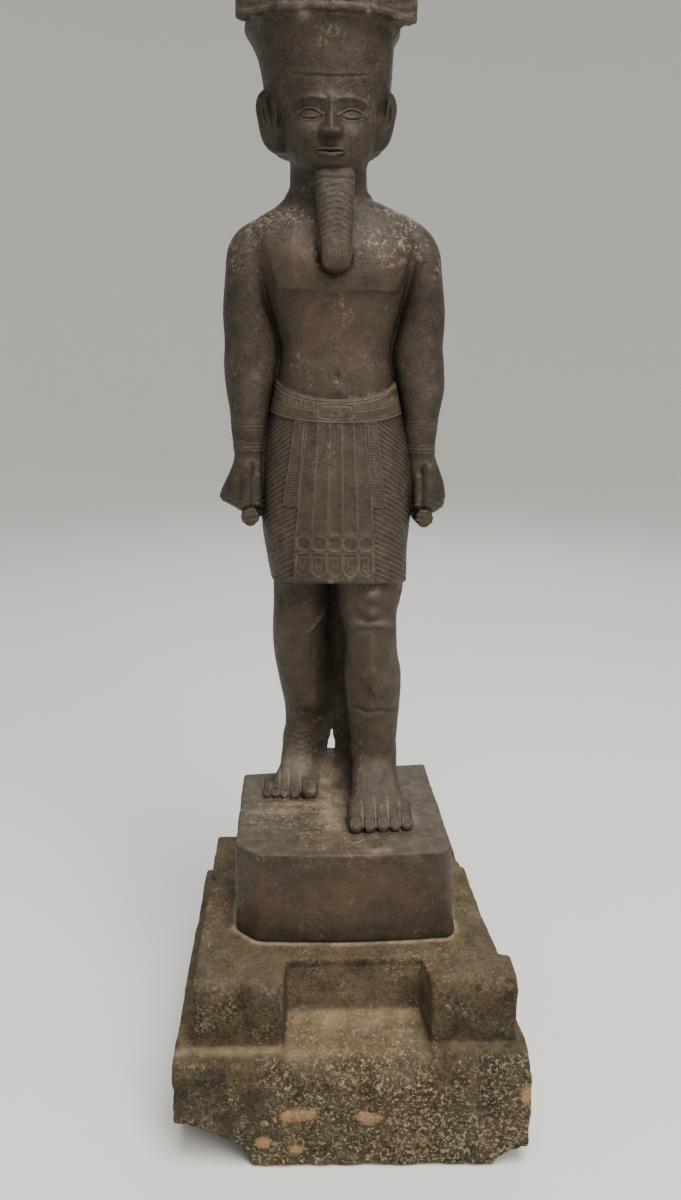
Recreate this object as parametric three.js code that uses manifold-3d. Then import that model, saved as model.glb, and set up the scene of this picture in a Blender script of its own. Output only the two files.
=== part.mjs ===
// A carved stone figure of a striding god in a kilt, under a flat crown with two tall plumes.
// The figure and the block under its feet are one stone, and it stands on a stepped base of its own.
// Millimetres, +Z up. The figure faces -Y, and the origin is the middle of the base's underside.
import * as THREE from 'three';
import { mergeVertices } from 'three/addons/utils/BufferGeometryUtils.js';
import Module from 'manifold-3d';

const wasm = await Module();
wasm.setup();

// Base: a lower slab, and on it a platform with a worn recess between two cheek blocks
const slab = { left: -111, right: 111, frontLeft: -113, frontRight: -119, back: 119, top: 73 };
const platform = { left: -99, right: 98, rightBack: 90, front: -96, back: 97, top: 115.3, worn: 7 };
const cheekStep = { right: 105, back: -68 };
const recess = { left: -43, leftBack: -39, right: 49, back: -70, foot: 80, sill: 71, mouth: 61 };
const chips = [
  { x: -116, y: -118, z: -2, reach: 54, rise: 34, depth: 46 },
  { x: 122, y: -124, z: -8, reach: 37, rise: 24, depth: 40 },
  { x: 108, y: 118, z: 4, reach: 20, rise: 16, depth: 26 },
];
// The broken upper edge of the slab's front: x, and how high the front reaches there
const brokenEdge = [
  [-115, 74], [-92, 71], [-60, 67], [-30, 59], [0, 53], [28, 51], [68, 52], [90, 58], [115, 60],
];

// Block under the feet, cut from the same stone as the figure
const footing = {
  gap: 0.3, top: 179, left: -75.5, right: 68, rightFoot: 73, front: -49, bow: 4, back: 84, skew: 9,
};
const footingCorner = 15;

// Main heights of the figure
const hemHeight = 343;
const crownRim = 652;
const plumeFoot = 682;
const plumeTop = 832;

// Rows of a form: height, left, right, front, back. Each row is one level section of the stone.
const kiltRows = [
  [hemHeight, -53, 38.8, 4, 81],
  [355, -55.4, 40.4, 3.5, 83],
  [378, -59.2, 42.8, 4, 86],
  [404, -60.5, 44.4, 6, 88],
  [430, -59, 41.4, 9, 86],
  [457, -53.4, 34.8, 13, 79],
  [474, -49.5, 29.5, 17, 73],
];
// The kilt's cloth where it lies over the advanced thigh
const drapeRows = [
  [hemHeight, -9, 38.8, 3.6, 56],
  [352, -9.2, 39, 4.4, 59],
  [372, -6, 36, 10, 58],
  [392, 0, 30, 18, 50],
];
const torsoRows = [
  [448, -52, 34, 17, 77],
  [477, -49, 28.6, 18, 73],
  [495, -46.6, 26.4, 19.5, 71],
  [518, -52.6, 31.2, 16.5, 75],
  [538, -61, 38, 13.5, 79],
  [556, -70, 46, 15, 80],
  [568, -70, 47, 19, 77],
  [577, -62, 41, 23, 74],
  [584, -51, 28, 26.5, 71],
  [590, -42.5, 12, 30, 67],
];
const neckRows = [
  [574, -44, 14, 25, 75],
  [586, -42, 10.5, 24, 73],
  [598, -40.8, 9, 21, 74],
  [616, -40.5, 8.6, 20, 78],
];
const headRows = [
  [599, -25, -7.5, 12.5, 32],
  [603, -33, 1, 9.6, 44],
  [610, -39.8, 8.4, 8.8, 62],
  [620, -44.2, 12.6, 8.8, 74],
  [632, -46.6, 14.6, 9.2, 80],
  [640, -47.8, 15.6, 9.4, 82],
  [647, -51, 18.4, 9.5, 84],
  [652, -54.4, 21, 9.4, 86],
  [657, -55.6, 22, 9.4, 86.5],
];
const crownRows = [
  [612, -52, 18, 14, 84],
  [636, -55.4, 21, 11.4, 87],
  [655, -57.4, 22.8, 9, 88.5],
  [670, -60.4, 23.6, 7, 90],
  [680, -64.8, 24.4, 4.6, 92],
  [687, -69.6, 28.4, 2, 94],
];
const beardRows = [
  [542.6, -17.4, -6.2, 4.6, 22],
  [545, -19.6, -4.2, 1.6, 26],
  [550, -20.8, -3.2, 0.5, 28],
  [570, -23.2, -2.2, 1.5, 30],
  [601, -25.4, -1, 7.5, 30],
];
const rearLegRows = [
  [196, -46.5, -19.5, 47, 76],
  [208, -45, -19, 49, 77],
  [222, -43.4, -18.4, 50, 76],
  [237, -43.4, -17.8, 49, 76],
  [250, -45.4, -16.6, 46, 78],
  [266, -48.6, -14.6, 42, 81],
  [284, -51.6, -13, 38, 82],
  [302, -52.4, -12.6, 34, 79],
  [322, -51.8, -12, 31, 76],
  [352, -52, -10, 28, 80],
];
const frontLegRows = [
  [196, 6.5, 36.8, 17, 49],
  [208, 6.3, 36.8, 19, 50],
  [224, 4.4, 37.2, 19, 50],
  [242, 1.8, 38.4, 17, 52],
  [264, -0.8, 39.2, 12, 56],
  [278, -1.8, 38.6, 9, 57],
  [292, -0.8, 35.6, 7, 54],
  [306, -1.6, 34.6, 5, 51],
  [322, -5.4, 34, 4, 51],
  [331, -6.6, 36, 4, 52],
  [340, -7.4, 37.8, 4.6, 54],
  [352, -8, 38, 5.6, 58],
];
// Arms, which hang straight down beside the body
const rightArmRows = [
  [428, -77.5, -57, 28, 52],
  [440, -78.8, -56, 27, 53],
  [456, -80.4, -54, 26, 56],
  [472, -83, -51, 27, 59],
  [486, -84.2, -48, 29, 61],
  [500, -83.6, -47.5, 29, 63],
  [520, -84.4, -53, 27, 66],
  [545, -82.4, -54, 25, 69],
  [557, -81.4, -52, 26, 69],
  [565, -78, -50, 29, 67],
  [572, -71.6, -50, 33, 63],
  [577, -62, -50, 39, 57],
];
const leftArmRows = [
  [428, 37, 57.8, 28, 52],
  [440, 36, 58.4, 27, 53],
  [456, 34.6, 60.6, 26, 56],
  [472, 31, 63.4, 27, 59],
  [486, 28, 63.2, 29, 61],
  [500, 27.5, 62, 29, 63],
  [520, 32, 62.4, 27, 66],
  [545, 33, 59.4, 25, 69],
  [557, 30, 58, 26, 69],
  [566, 28, 54.6, 29, 67],
  [574, 28, 47.6, 33, 63],
  [580, 28, 38, 39, 57],
];
const rightHandRows = [
  [389, -73.4, -58.4, 28.6, 51],
  [393.6, -81, -57.6, 26.2, 53.4],
  [400.6, -87.6, -57, 24.8, 55],
  [412, -82.8, -57, 24.8, 54],
  [420, -79.2, -57.2, 26.2, 52.6],
  [427, -77.7, -57.3, 28, 52],
  [433, -77.6, -57.4, 28, 52],
];
const leftHandRows = [
  [389, 42.4, 58.4, 28.6, 51],
  [394, 40.8, 65.4, 26.2, 53.8],
  [403.6, 39.3, 66.5, 24.7, 55],
  [412, 38.5, 64.6, 25.2, 54.2],
  [420.6, 38, 61.2, 26.4, 53],
  [427, 37.7, 58.8, 28, 52],
  [433, 37.4, 57.8, 28, 52],
];
// Stone left standing between each arm and the body, and between the legs, with a small hole above the feet
const armWeb = { low: 436, high: 560, left: -70, right: 48, front: 46, back: 60 };
const legWebOutline = [[-30, 177], [16, 177], [12, 352], [-26, 352]];
const legHole = [[-11.8, 203.5], [-5.6, 203.5], [-6.4, 214], [-8.2, 223], [-10.9, 214]];
const legWebDepth = { front: 56, back: 70 };
// Hands: closed round a short rod, with the thumb and the first finger down the front
const knuckles = [
  { radius: 4.8, root: [10, 27.5, 420], tip: [10.4, 26.4, 398] },
  { radius: 3.2, root: [3.4, 27.6, 414], tip: [3.6, 27.4, 396] },
];
const rod = { reach: 8.2, radius: 6.3, front: 22.6, back: 56, height: 387.2 };
// Feet: each row is one upright section: depth, left, right, bottom, top
const frontFootRows = [
  [49, 12, 32, 176, 196],
  [42, 8, 36, 176, 210],
  [30, 6.2, 37.4, 176, 222],
  [17, 4.6, 38.4, 176, 213],
  [2, 2.2, 41, 176, 200],
  [-10, 0.6, 43.6, 176, 192],
  [-18, 0.4, 44.6, 176, 187],
];
const rearFootRows = [
  [78, -43, -22, 176, 196],
  [72, -44.4, -19.6, 176, 206],
  [60, -45.4, -19, 176, 212],
  [50, -48.4, -18.8, 176, 204],
  [40, -54.6, -19, 176, 193],
  [33, -58.4, -19.6, 176, 188],
];
const frontToes = { inner: 0, outer: 45, tip: -26, root: -8 };
const rearToes = { inner: -19.4, outer: -59, tip: 27, root: 42 };
const toeShares = [0.27, 0.2, 0.19, 0.18, 0.16];

// Kilt carving: belt, front apron with flaring panels, side ribbons and two rows of drops at the hem
const belt = { low: 457, high: 477, lowDip: 7, highDip: 13, raise: 1.4 };
const apron = {
  middle: -10.5, low: 379, high: 449, halfTop: 19, halfLow: 25, raise: 1.1, panels: 5, gap: 1.1,
};
const ribbon = { low: 396, high: 449, inTop: 19.8, outTop: 26.6, inLow: 23.5, outLow: 34.5, raise: 1.5 };
const blocks = { low: 368.5, high: 376.5, half: 25.5, count: 5, raise: 1.2, gap: 1.3 };
const drops = { low: 351, high: 365.5, half: 26, count: 5, raise: 1.2, gap: 1.8 };
const bracelet = { low: 430, high: 451, raise: 0.9 };
const navel = { height: 480.5, half: 2.2, rise: 4, deep: 2.4 };
const pectoral = { low: 531, high: 566, inner: 2, outer: 37, outerHigh: 44, raise: 1.8 };

// Head details. The face is on the usual canon: three equal parts from crown rim to chin,
// eyes one fifth wide
const face = {
  middle: -16, chin: 600, brow: 638, eye: 631.5, noseBase: 617.8, mouth: 611, eyeOut: 13, eyeHalf: 7.2,
  reach: 30,
};

// Ears, turned to the front: height, reach from the head's middle line, root, front, back
const earRows = [
  [616, 33, 24, 40, 48],
  [619, 37.2, 24, 37.4, 50],
  [624, 40.6, 24, 35.6, 52],
  [635, 43.4, 24, 34, 53],
  [642, 44.4, 24, 34, 53],
  [649, 42.8, 24, 35, 53],
  [653, 38, 26, 38, 51],
];
const ears = [{ way: -1, lift: 0 }, { way: 1, lift: 1.4 }];
const earMiddle = -17.8;
const earBowl = { out: 36, depth: 32.5, height: 637, half: 5.4, deep: 5, rise: 12.5 };
const plume = {
  left: -73.4, right: 35.4, front: 0, bow: 19, back: 34, shoulder: 20, raise: 1.4, rib: 5, barbs: 5,
};

const stoneColour = 0x5b5148;

// The section powers: 2 is an ellipse, and a higher power is boxier
const powers = {
  kilt: 2.35, torso: 2.45, head: 2.5, crown: 2.3, limb: 2.15, hand: 2.5, foot: 2.5, beard: 3.6,
};

function signedPower(value, power) {
  return Math.sign(value) * Math.abs(value) ** power;
}

// One row of a form at any height, on a smooth curve through the rows given
function rowAt(rows, at) {
  const rising = rows[1][0] > rows[0][0];
  let i = 0;
  while (i < rows.length - 2 && (rising ? at > rows[i + 1][0] : at < rows[i + 1][0])) i += 1;
  const [a, b] = [rows[i], rows[i + 1]];
  const before = rows[Math.max(i - 1, 0)];
  const after = rows[Math.min(i + 2, rows.length - 1)];
  const span = b[0] - a[0];
  const t = THREE.MathUtils.clamp((at - a[0]) / span, 0, 1);
  return a.map((value, k) => {
    if (k === 0) return at;
    const slopeIn = ((b[k] - before[k]) / (b[0] - before[0])) * span;
    const slopeOut = ((after[k] - a[k]) / (after[0] - a[0])) * span;
    const rise = 3 * t ** 2 - 2 * t ** 3;
    const turns = (t ** 3 - 2 * t ** 2 + t) * slopeIn + (t ** 3 - t ** 2) * slopeOut;
    return value + rise * (b[k] - value) + turns;
  });
}

// A point of a form's skin at an angle and a height, pushed out along its level normal
function skinPoint(rows, power, angle, height, raise = 0) {
  const [, left, right, front, back] = rowAt(rows, height);
  const half = [(right - left) / 2, (back - front) / 2];
  const c = signedPower(Math.cos(angle), 2 / power);
  const s = signedPower(Math.sin(angle), 2 / power);
  const normal = new THREE.Vector2(
    signedPower(Math.cos(angle), 2 - 2 / power) / half[0],
    signedPower(Math.sin(angle), 2 - 2 / power) / half[1],
  ).normalize();
  return [
    (left + right) / 2 + half[0] * c + normal.x * raise,
    (front + back) / 2 + half[1] * s + normal.y * raise,
    height,
  ];
}

// The angle at which a form's front skin has a given x
function frontAngle(rows, power, x, height) {
  const [, left, right] = rowAt(rows, height);
  const share = THREE.MathUtils.clamp((x - (left + right) / 2) / ((right - left) / 2), -1, 1);
  return -Math.acos(signedPower(share, power / 2));
}

// A closed mesh from rings of equal count, with flat ends
function skinRings(rings) {
  const count = rings[0].length;
  const points = rings.flat();
  const index = [];
  const face = (a, b, c) => index.push(a, b, c);
  for (let r = 0; r < rings.length - 1; r += 1) {
    for (let k = 0; k < count; k += 1) {
      const next = (k + 1) % count;
      const [a, b, c, d] = [r * count + k, r * count + next, (r + 1) * count + next, (r + 1) * count + k];
      face(a, b, c);
      face(a, c, d);
    }
  }
  [0, rings.length - 1].forEach((r) => {
    const middle = [0, 1, 2].map((axis) => rings[r].reduce((sum, p) => sum + p[axis], 0) / count);
    points.push(middle);
    for (let k = 0; k < count; k += 1) {
      const [a, b] = [r * count + k, r * count + ((k + 1) % count)];
      if (r === 0) face(points.length - 1, b, a);
      else face(points.length - 1, a, b);
    }
  });
  const geometry = new THREE.BufferGeometry();
  geometry.setAttribute('position', new THREE.Float32BufferAttribute(points.flat(), 3));
  geometry.setIndex(index);
  return geometry;
}

// A geometry turned into a solid that can be joined and cut
function solid(geometry) {
  const bare = geometry.clone();
  bare.deleteAttribute('normal');
  bare.deleteAttribute('uv');
  const merged = mergeVertices(bare, 1e-4);
  const made = new wasm.Manifold(new wasm.Mesh({
    numProp: 3,
    vertProperties: new Float32Array(merged.attributes.position.array),
    triVerts: new Uint32Array(merged.index.array),
  }));
  return made;
}

function geometryOf(body) {
  const mesh = body.getMesh();
  const geometry = new THREE.BufferGeometry();
  geometry.setAttribute('position', new THREE.BufferAttribute(mesh.vertProperties, 3));
  geometry.setIndex(new THREE.BufferAttribute(mesh.triVerts, 1));
  geometry.computeVertexNormals();
  return geometry;
}

function join(bodies) {
  return bodies.reduce((whole, body) => whole.add(body));
}

// The stone is solid, so a pocket shut in between joined forms is filled
function filled(body) {
  return body.decompose().reduce((most, part) => (part.volume() > most.volume() ? part : most));
}

// The places of a form's rings: at each row, and between rows where the form bends more
function ringPlaces(rows, between) {
  return rows.slice(1).reduce((places, row, i) => {
    const from = rows[i][0];
    for (let k = 1; k <= between; k += 1) places.push(THREE.MathUtils.lerp(from, row[0], k / between));
    return places;
  }, [rows[0][0]]);
}

// A form that stands upright: level rings from the lowest row to the highest
function upright(rows, power, sides, between = 1) {
  const angles = Array.from({ length: sides }, (_, k) => ((k + 0.5) / sides) * 2 * Math.PI);
  const rings = ringPlaces(rows, between).map((height) =>
    angles.map((angle) => skinPoint(rows, power, angle, height)));
  return solid(skinRings(rings));
}

// A form that lies along the depth, such as a foot: upright rings from back to front
function lying(rows, power, sides) {
  return solid(skinRings(ringPlaces(rows, 1).map((depth) =>
    Array.from({ length: sides }, (_, k) => {
      const [x, z] = skinPoint(rows, power, ((k + 0.5) / sides) * 2 * Math.PI, depth);
      return [x, depth, z];
    }))));
}

function ellipsoid(centre, radii, turnZ = 0, detail = 10) {
  const geometry = new THREE.SphereGeometry(1, detail, Math.round(detail * 0.7));
  geometry.scale(...radii);
  geometry.rotateZ(turnZ);
  geometry.translate(...centre);
  return solid(geometry);
}

// A bar with round ends through the points given
function bar(points, radius, sides = 6) {
  const parts = [];
  for (let i = 0; i < points.length - 1; i += 1) {
    const [from, to] = [new THREE.Vector3(...points[i]), new THREE.Vector3(...points[i + 1])];
    const geometry = new THREE.CapsuleGeometry(radius, from.distanceTo(to), 1, sides);
    geometry.applyQuaternion(new THREE.Quaternion().setFromUnitVectors(
      new THREE.Vector3(0, 1, 0), to.clone().sub(from).normalize(),
    ));
    geometry.translate(...from.clone().add(to).multiplyScalar(0.5).toArray());
    parts.push(solid(geometry));
  }
  return join(parts);
}

// A raised patch of a form's skin between two edges, each a function that gives x from the height.
// It may sink back to the skin towards its top.
function panel(
  rows, power, low, high, leftEdge, rightEdge, raiseLow, across = 3, up = 4, raiseHigh = raiseLow,
) {
  const rings = [];
  for (let r = 0; r <= up; r += 1) {
    const height = THREE.MathUtils.lerp(low, high, r / up);
    const raise = THREE.MathUtils.lerp(raiseLow, raiseHigh, (r / up) ** 1.5);
    const outer = [];
    const inner = [];
    for (let k = 0; k <= across; k += 1) {
      const x = THREE.MathUtils.lerp(leftEdge(height), rightEdge(height), k / across);
      const angle = frontAngle(rows, power, x, height);
      outer.push(skinPoint(rows, power, angle, height, raise));
      inner.push(skinPoint(rows, power, angle, height, -2));
    }
    rings.push([...outer, ...inner.reverse()]);
  }
  return solid(skinRings(rings));
}

// A raised band all round a form, whose edges may dip at the front
function band(rows, power, lowEdge, highEdge, raise, sides = 36) {
  const position = [];
  const index = [];
  for (let k = 0; k < sides; k += 1) {
    const angle = ((k + 0.5) / sides) * 2 * Math.PI;
    const [low, high] = [lowEdge(angle), highEdge(angle)];
    position.push(
      ...skinPoint(rows, power, angle, low, -2), ...skinPoint(rows, power, angle, low, raise),
      ...skinPoint(rows, power, angle, high, raise), ...skinPoint(rows, power, angle, high, -2),
    );
    for (let j = 0; j < 4; j += 1) {
      const [a, b] = [k * 4 + j, k * 4 + ((j + 1) % 4)];
      const [c, d] = [((k + 1) % sides) * 4 + ((j + 1) % 4), ((k + 1) % sides) * 4 + j];
      index.push(a, c, b, a, d, c);
    }
  }
  const geometry = new THREE.BufferGeometry();
  geometry.setAttribute('position', new THREE.Float32BufferAttribute(position, 3));
  geometry.setIndex(index);
  return solid(geometry);
}

// A prism from a level outline
function prism(points, low, high) {
  const shape = new THREE.Shape(points.map(([x, y]) => new THREE.Vector2(x, y)));
  const geometry = new THREE.ExtrudeGeometry(shape, { depth: high - low, bevelEnabled: false });
  geometry.translate(0, 0, low);
  return solid(geometry);
}

function footingBlock() {
  const { left, right, rightFoot, front, bow, back, skew, top, gap } = footing;
  const bottom = platform.top + gap;
  const outline = (edgeRight) => {
    const c = footingCorner;
    const shape = new THREE.Shape();
    shape.moveTo(left, back - skew);
    shape.lineTo(left, front + c);
    shape.quadraticCurveTo(left + 2, front + 4, left + c, front + 2);
    shape.quadraticCurveTo((left + edgeRight) / 2, front - bow, edgeRight - c - 8, front - 2);
    shape.quadraticCurveTo(edgeRight - 3, front + 3, edgeRight, front + c - 2);
    shape.lineTo(edgeRight - 3, back + skew);
    return shape.getPoints(5).map((p) => [p.x, p.y]);
  };
  const rings = [[bottom, rightFoot], [bottom + 12, right + 3], [top, right]].map(([z, edgeRight]) =>
    outline(edgeRight).map(([x, y]) => [x, y, z]));
  return solid(skinRings(rings));
}

function footWithToes(rows, toe) {
  const parts = [lying(rows, powers.foot, 12)];
  const width = toe.outer - toe.inner;
  let start = toe.inner;
  toeShares.forEach((share, i) => {
    const middle = start + (width * share) / 2;
    const half = Math.abs(width * share) / 2;
    const tip = toe.tip + i * 1.2;
    const length = (toe.root - tip) / 2;
    const rise = i === 0 ? 6.2 : 5.2;
    const centre = [middle, tip + length, footing.top + rise * 0.6];
    parts.push(ellipsoid(centre, [half * 0.97, length, rise], 0, 6));
    start += width * share;
  });
  return join(parts);
}

// The stone left standing between the legs, with the small hole that is pierced through it above the feet
function legWeb() {
  const shape = new THREE.Shape(legWebOutline.map(([x, z]) => new THREE.Vector2(x, z)));
  shape.holes.push(new THREE.Path(legHole.map(([x, z]) => new THREE.Vector2(x, z))));
  const { front, back } = legWebDepth;
  const geometry = new THREE.ExtrudeGeometry(shape, { depth: back - front, bevelEnabled: false });
  geometry.rotateX(Math.PI / 2);
  geometry.translate(0, back, 0);
  return solid(geometry);
}

function legs() {
  return join([
    upright(rearLegRows, powers.limb, 16),
    upright(frontLegRows, powers.limb, 16),
    footWithToes(frontFootRows, frontToes),
    footWithToes(rearFootRows, rearToes),
    legWeb(),
  ]);
}

function beltEdge(height, dip) {
  return (angle) => height - dip * Math.max(0, -Math.sin(angle)) ** 1.5;
}

function kilt() {
  const power = powers.kilt;
  const beltTop = beltEdge(belt.high - 6, belt.highDip - 4);
  const mid = apron.middle;
  const flare = (low, high, atLow, atHigh) => (height) =>
    mid + THREE.MathUtils.mapLinear(height, low, high, atLow, atHigh);
  const parts = [
    upright(kiltRows, power, 30),
    upright(drapeRows, powers.limb, 16),
    band(kiltRows, power, beltEdge(belt.low, belt.lowDip), beltTop, belt.raise, 30),
  ];
  for (let i = 0; i < apron.panels; i += 1) {
    const share = (k) => (2 * k) / apron.panels - 1;
    const edge = (k, inset) => flare(
      apron.low, apron.high, apron.halfLow * share(k) + inset, apron.halfTop * share(k) + inset,
    );
    const [left, right] = [edge(i, apron.gap / 2), edge(i + 1, -apron.gap / 2)];
    parts.push(panel(kiltRows, power, apron.low, apron.high, left, right, apron.raise, 2, 3));
  }
  [-1, 1].forEach((way) => {
    const near = flare(ribbon.low, ribbon.high, way * ribbon.inLow, way * ribbon.inTop);
    const far = flare(ribbon.low, ribbon.high, way * ribbon.outLow, way * ribbon.outTop);
    const [left, right] = way < 0 ? [far, near] : [near, far];
    parts.push(panel(kiltRows, power, ribbon.low, ribbon.high, left, right, ribbon.raise, 3, 3));
  });
  [blocks, drops].forEach((row) => {
    const width = (2 * row.half) / row.count;
    for (let i = 0; i < row.count; i += 1) {
      const left = mid - row.half + i * width + row.gap / 2;
      const right = left + width - row.gap;
      const pinch = row === drops ? 0.22 : 0;
      const inset = (height) => pinch * width * (1 - (height - row.low) / (row.high - row.low)) ** 2;
      const edges = [(h) => left + inset(h), (h) => right - inset(h)];
      parts.push(panel(kiltRows, power, row.low, row.high, ...edges, row.raise, 2, row === drops ? 3 : 1));
    }
  });
  return join(parts);
}

function torso() {
  const { low, high, inner, outer, outerHigh, raise } = pectoral;
  const middle = (rowAt(torsoRows, low)[1] + rowAt(torsoRows, low)[2]) / 2;
  const reach = (height) => THREE.MathUtils.mapLinear(height, low, high, outer, outerHigh);
  const chest = [
    [(h) => middle - reach(h), () => middle - inner],
    [() => middle + inner, (h) => middle + reach(h)],
  ].map(([from, to]) => panel(torsoRows, powers.torso, low, high, from, to, raise, 3, 3, -0.6));
  const { left, right, front, back } = armWeb;
  const web = prism([[left, front], [right, front], [right, back], [left, back]], armWeb.low, armWeb.high);
  const belly = rowAt(torsoRows, navel.height)[3];
  return join([
    upright(torsoRows, powers.torso, 26),
    upright(neckRows, powers.limb, 18),
    web,
    ...chest,
  ]).subtract(ellipsoid([middle, belly, navel.height], [navel.half, navel.deep, navel.rise], 0, 6));
}

function arm(rows, handRows, way) {
  const inside = way < 0 ? handRows[0][2] : handRows[0][1];
  const placed = ([reach, depth, height]) => [inside + way * reach, depth, height];
  const rodEnd = new THREE.CylinderGeometry(rod.radius, rod.radius, rod.back - rod.front, 10);
  rodEnd.translate(inside + way * rod.reach, (rod.front + rod.back) / 2, rod.height);
  return join([
    upright(rows, powers.limb, 14),
    upright(handRows, powers.hand, 14),
    ...knuckles.map(({ radius, root, tip }) => bar([placed(root), placed(tip)], radius)),
    solid(rodEnd),
    band(rows, powers.limb, () => bracelet.low, () => bracelet.high, bracelet.raise, 14),
  ]);
}

function earSolid({ way, lift }) {
  const rows = earRows.map(([height, reach, root, front, back]) => {
    const edges = [earMiddle + way * reach, earMiddle + way * root];
    return [height + lift, Math.min(...edges), Math.max(...edges), front, back];
  });
  const { out, depth, height, half, deep, rise } = earBowl;
  const bowl = ellipsoid([earMiddle + way * out, depth, height + lift], [half, deep, rise], 0, 8);
  return upright(rows, powers.limb, 12).subtract(bowl);
}

// A soft bump of height one at the middle, that fades out over the reach given
function bump(distance, reach) {
  return Math.exp(-((distance / reach) ** 2));
}

// How far the face stands out from the plain head, by the distance from its middle line and the height
function faceRelief(across, z) {
  const { brow, eye, noseBase, mouth, chin, eyeOut, eyeHalf, reach } = face;
  const side = Math.abs(across);
  if (side > reach || z < chin - 4 || z > brow + 10) return 0;
  const browLine = brow + 1.8 * Math.sin((Math.PI * THREE.MathUtils.clamp(side - 2, 0, 24)) / 24);
  const socket = -2.6 * bump(side - eyeOut * 0.94, 9) * bump(z - eye - 0.5, 5.4);
  const ball = 2.9 * bump(side - eyeOut, eyeHalf * 0.75) * bump(z - eye, 2.4);
  const ridge = side < 26 ? 1.3 * bump(z - browLine, 1.7) * Math.min(1, side / 4) : 0;
  const down = THREE.MathUtils.clamp((brow - z) / (brow - noseBase - 2), 0, 1);
  const noseHalf = 2.8 + 2.9 * down ** 2.5;
  const noseEnd = THREE.MathUtils.smoothstep(z, noseBase - 1.6, noseBase + 1.8);
  const nose = z < brow + 2 ? (1.6 + 6.6 * down ** 1.3) * bump(side, noseHalf) ** 0.9 * noseEnd : 0;
  const wings = 2.4 * bump(side - 4.4, 2.2) * bump(z - noseBase - 2.2, 2.4);
  const lipReach = THREE.MathUtils.clamp(1 - (side / 9.4) ** 2, 0, 1);
  const lips = (2.5 * bump(z - mouth - 1.9, 1.5) + 2.7 * bump(z - mouth + 2.3, 1.8)) * lipReach ** 0.7;
  const cheeks = 1 * bump(side - 17, 8) * bump(z - 620, 8);
  const chinForm = 2.2 * bump(side, 8) * bump(z - chin - 3, 4.4);
  return socket + ball + ridge + nose + wings + lips + cheeks + chinForm;
}

// The head: finer columns and rows over the face, which is worked in relief
function skull() {
  const { middle, chin, brow } = face;
  const [low, high] = [headRows[0][0], headRows[headRows.length - 1][0]];
  const heights = [low];
  while (heights[heights.length - 1] < high - 4) {
    const at = heights[heights.length - 1];
    heights.push(at + (at > chin + 4 && at < brow + 3 ? 2.4 : 5));
  }
  const columns = 30;
  const crowding = 0.3;
  const angles = Array.from({ length: columns }, (_, k) => {
    const turn = (k + 0.5) / columns - 0.5;
    return -Math.PI / 2 + 2 * Math.PI * (crowding * turn + (1 - crowding) * 4 * turn ** 3);
  });
  return solid(skinRings(heights.map((height) => angles.map((angle) => {
    const [x, y, z] = skinPoint(headRows, powers.head, angle, height);
    const out = Math.sin(angle) < 0 ? faceRelief(x - middle, z) : 0;
    return [x, y - out, z];
  }))));
}

function head() {
  return join([skull(), ...ears.map((side) => earSolid(side))]);
}

// The crown comes down level to the top of the ears, and lower behind them, to the nape
function crown() {
  const below = new THREE.Shape();
  below.moveTo(-20, 600);
  below.lineTo(-20, crownRim);
  below.lineTo(22, crownRim + 1);
  below.quadraticCurveTo(36, crownRim, 40, crownRim - 14);
  below.quadraticCurveTo(46, crownRim - 33, 100, crownRim - 34);
  below.lineTo(100, 600);
  const cut = new THREE.ExtrudeGeometry(below, { depth: 140, bevelEnabled: false, curveSegments: 5 });
  cut.rotateX(Math.PI / 2);
  cut.rotateZ(Math.PI / 2);
  cut.translate(-90, 0, 0);
  return upright(crownRows, powers.crown, 26).subtract(solid(cut));
}

// Two feathers side by side, rounded at the top, on a thick slab with a bowed front
function plumes() {
  const { left, right, front, bow, back, shoulder, raise, rib, barbs } = plume;
  const middle = (left + right) / 2;
  const half = (right - left) / 2;
  const tall = plumeTop - plumeFoot;
  const outline = new THREE.Shape();
  outline.moveTo(left, plumeFoot);
  outline.lineTo(right, plumeFoot);
  outline.lineTo(right, plumeTop - shoulder);
  outline.quadraticCurveTo(right - 4, plumeTop, middle + half * 0.46, plumeTop);
  outline.quadraticCurveTo(middle + 4, plumeTop - 1, middle, plumeTop - 12);
  outline.quadraticCurveTo(middle - 4, plumeTop - 1, middle - half * 0.46, plumeTop);
  outline.quadraticCurveTo(left + 4, plumeTop, left, plumeTop - shoulder);
  const face = new THREE.ExtrudeGeometry(outline, { depth: 80, bevelEnabled: false, curveSegments: 5 });
  face.rotateX(Math.PI / 2);
  face.translate(0, 65, 0);
  const plan = new THREE.Shape();
  plan.moveTo(left - 1, front + bow);
  plan.quadraticCurveTo(middle, front - bow, right + 1, front + bow);
  plan.lineTo(middle + half * 0.6, back);
  plan.lineTo(middle - half * 0.6, back);
  const deep = new THREE.ExtrudeGeometry(plan, { depth: tall + 4, bevelEnabled: false, curveSegments: 10 });
  deep.translate(0, 0, plumeFoot - 2);
  const frontY = (x) => front + bow * ((x - middle) / half) ** 2;
  const groove = new THREE.BoxGeometry(2.4, 6, tall + 10);
  groove.translate(middle, front - 1, plumeFoot + tall / 2 + 6);
  let body = solid(face).intersect(solid(deep)).subtract(solid(groove));
  [-1, 1].forEach((way) => {
    const x = middle + way * half * 0.5;
    const spine = new THREE.BoxGeometry(rib, 4, tall - 12);
    spine.translate(x, frontY(x) + 2 - raise, plumeFoot + tall / 2 - 4);
    body = body.add(solid(spine));
    for (let i = 1; i <= barbs; i += 1) {
      [-1, 1].forEach((side) => {
        const barb = new THREE.BoxGeometry(half * 0.34, 5, 1.6);
        const at = x + side * half * 0.24;
        barb.rotateY(side * 0.3);
        const height = THREE.MathUtils.lerp(plumeFoot, plumeTop - 8, i / (barbs + 1));
        barb.translate(at, frontY(at) - 0.6, height);
        body = body.subtract(solid(barb));
      });
    }
  });
  return body;
}

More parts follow.
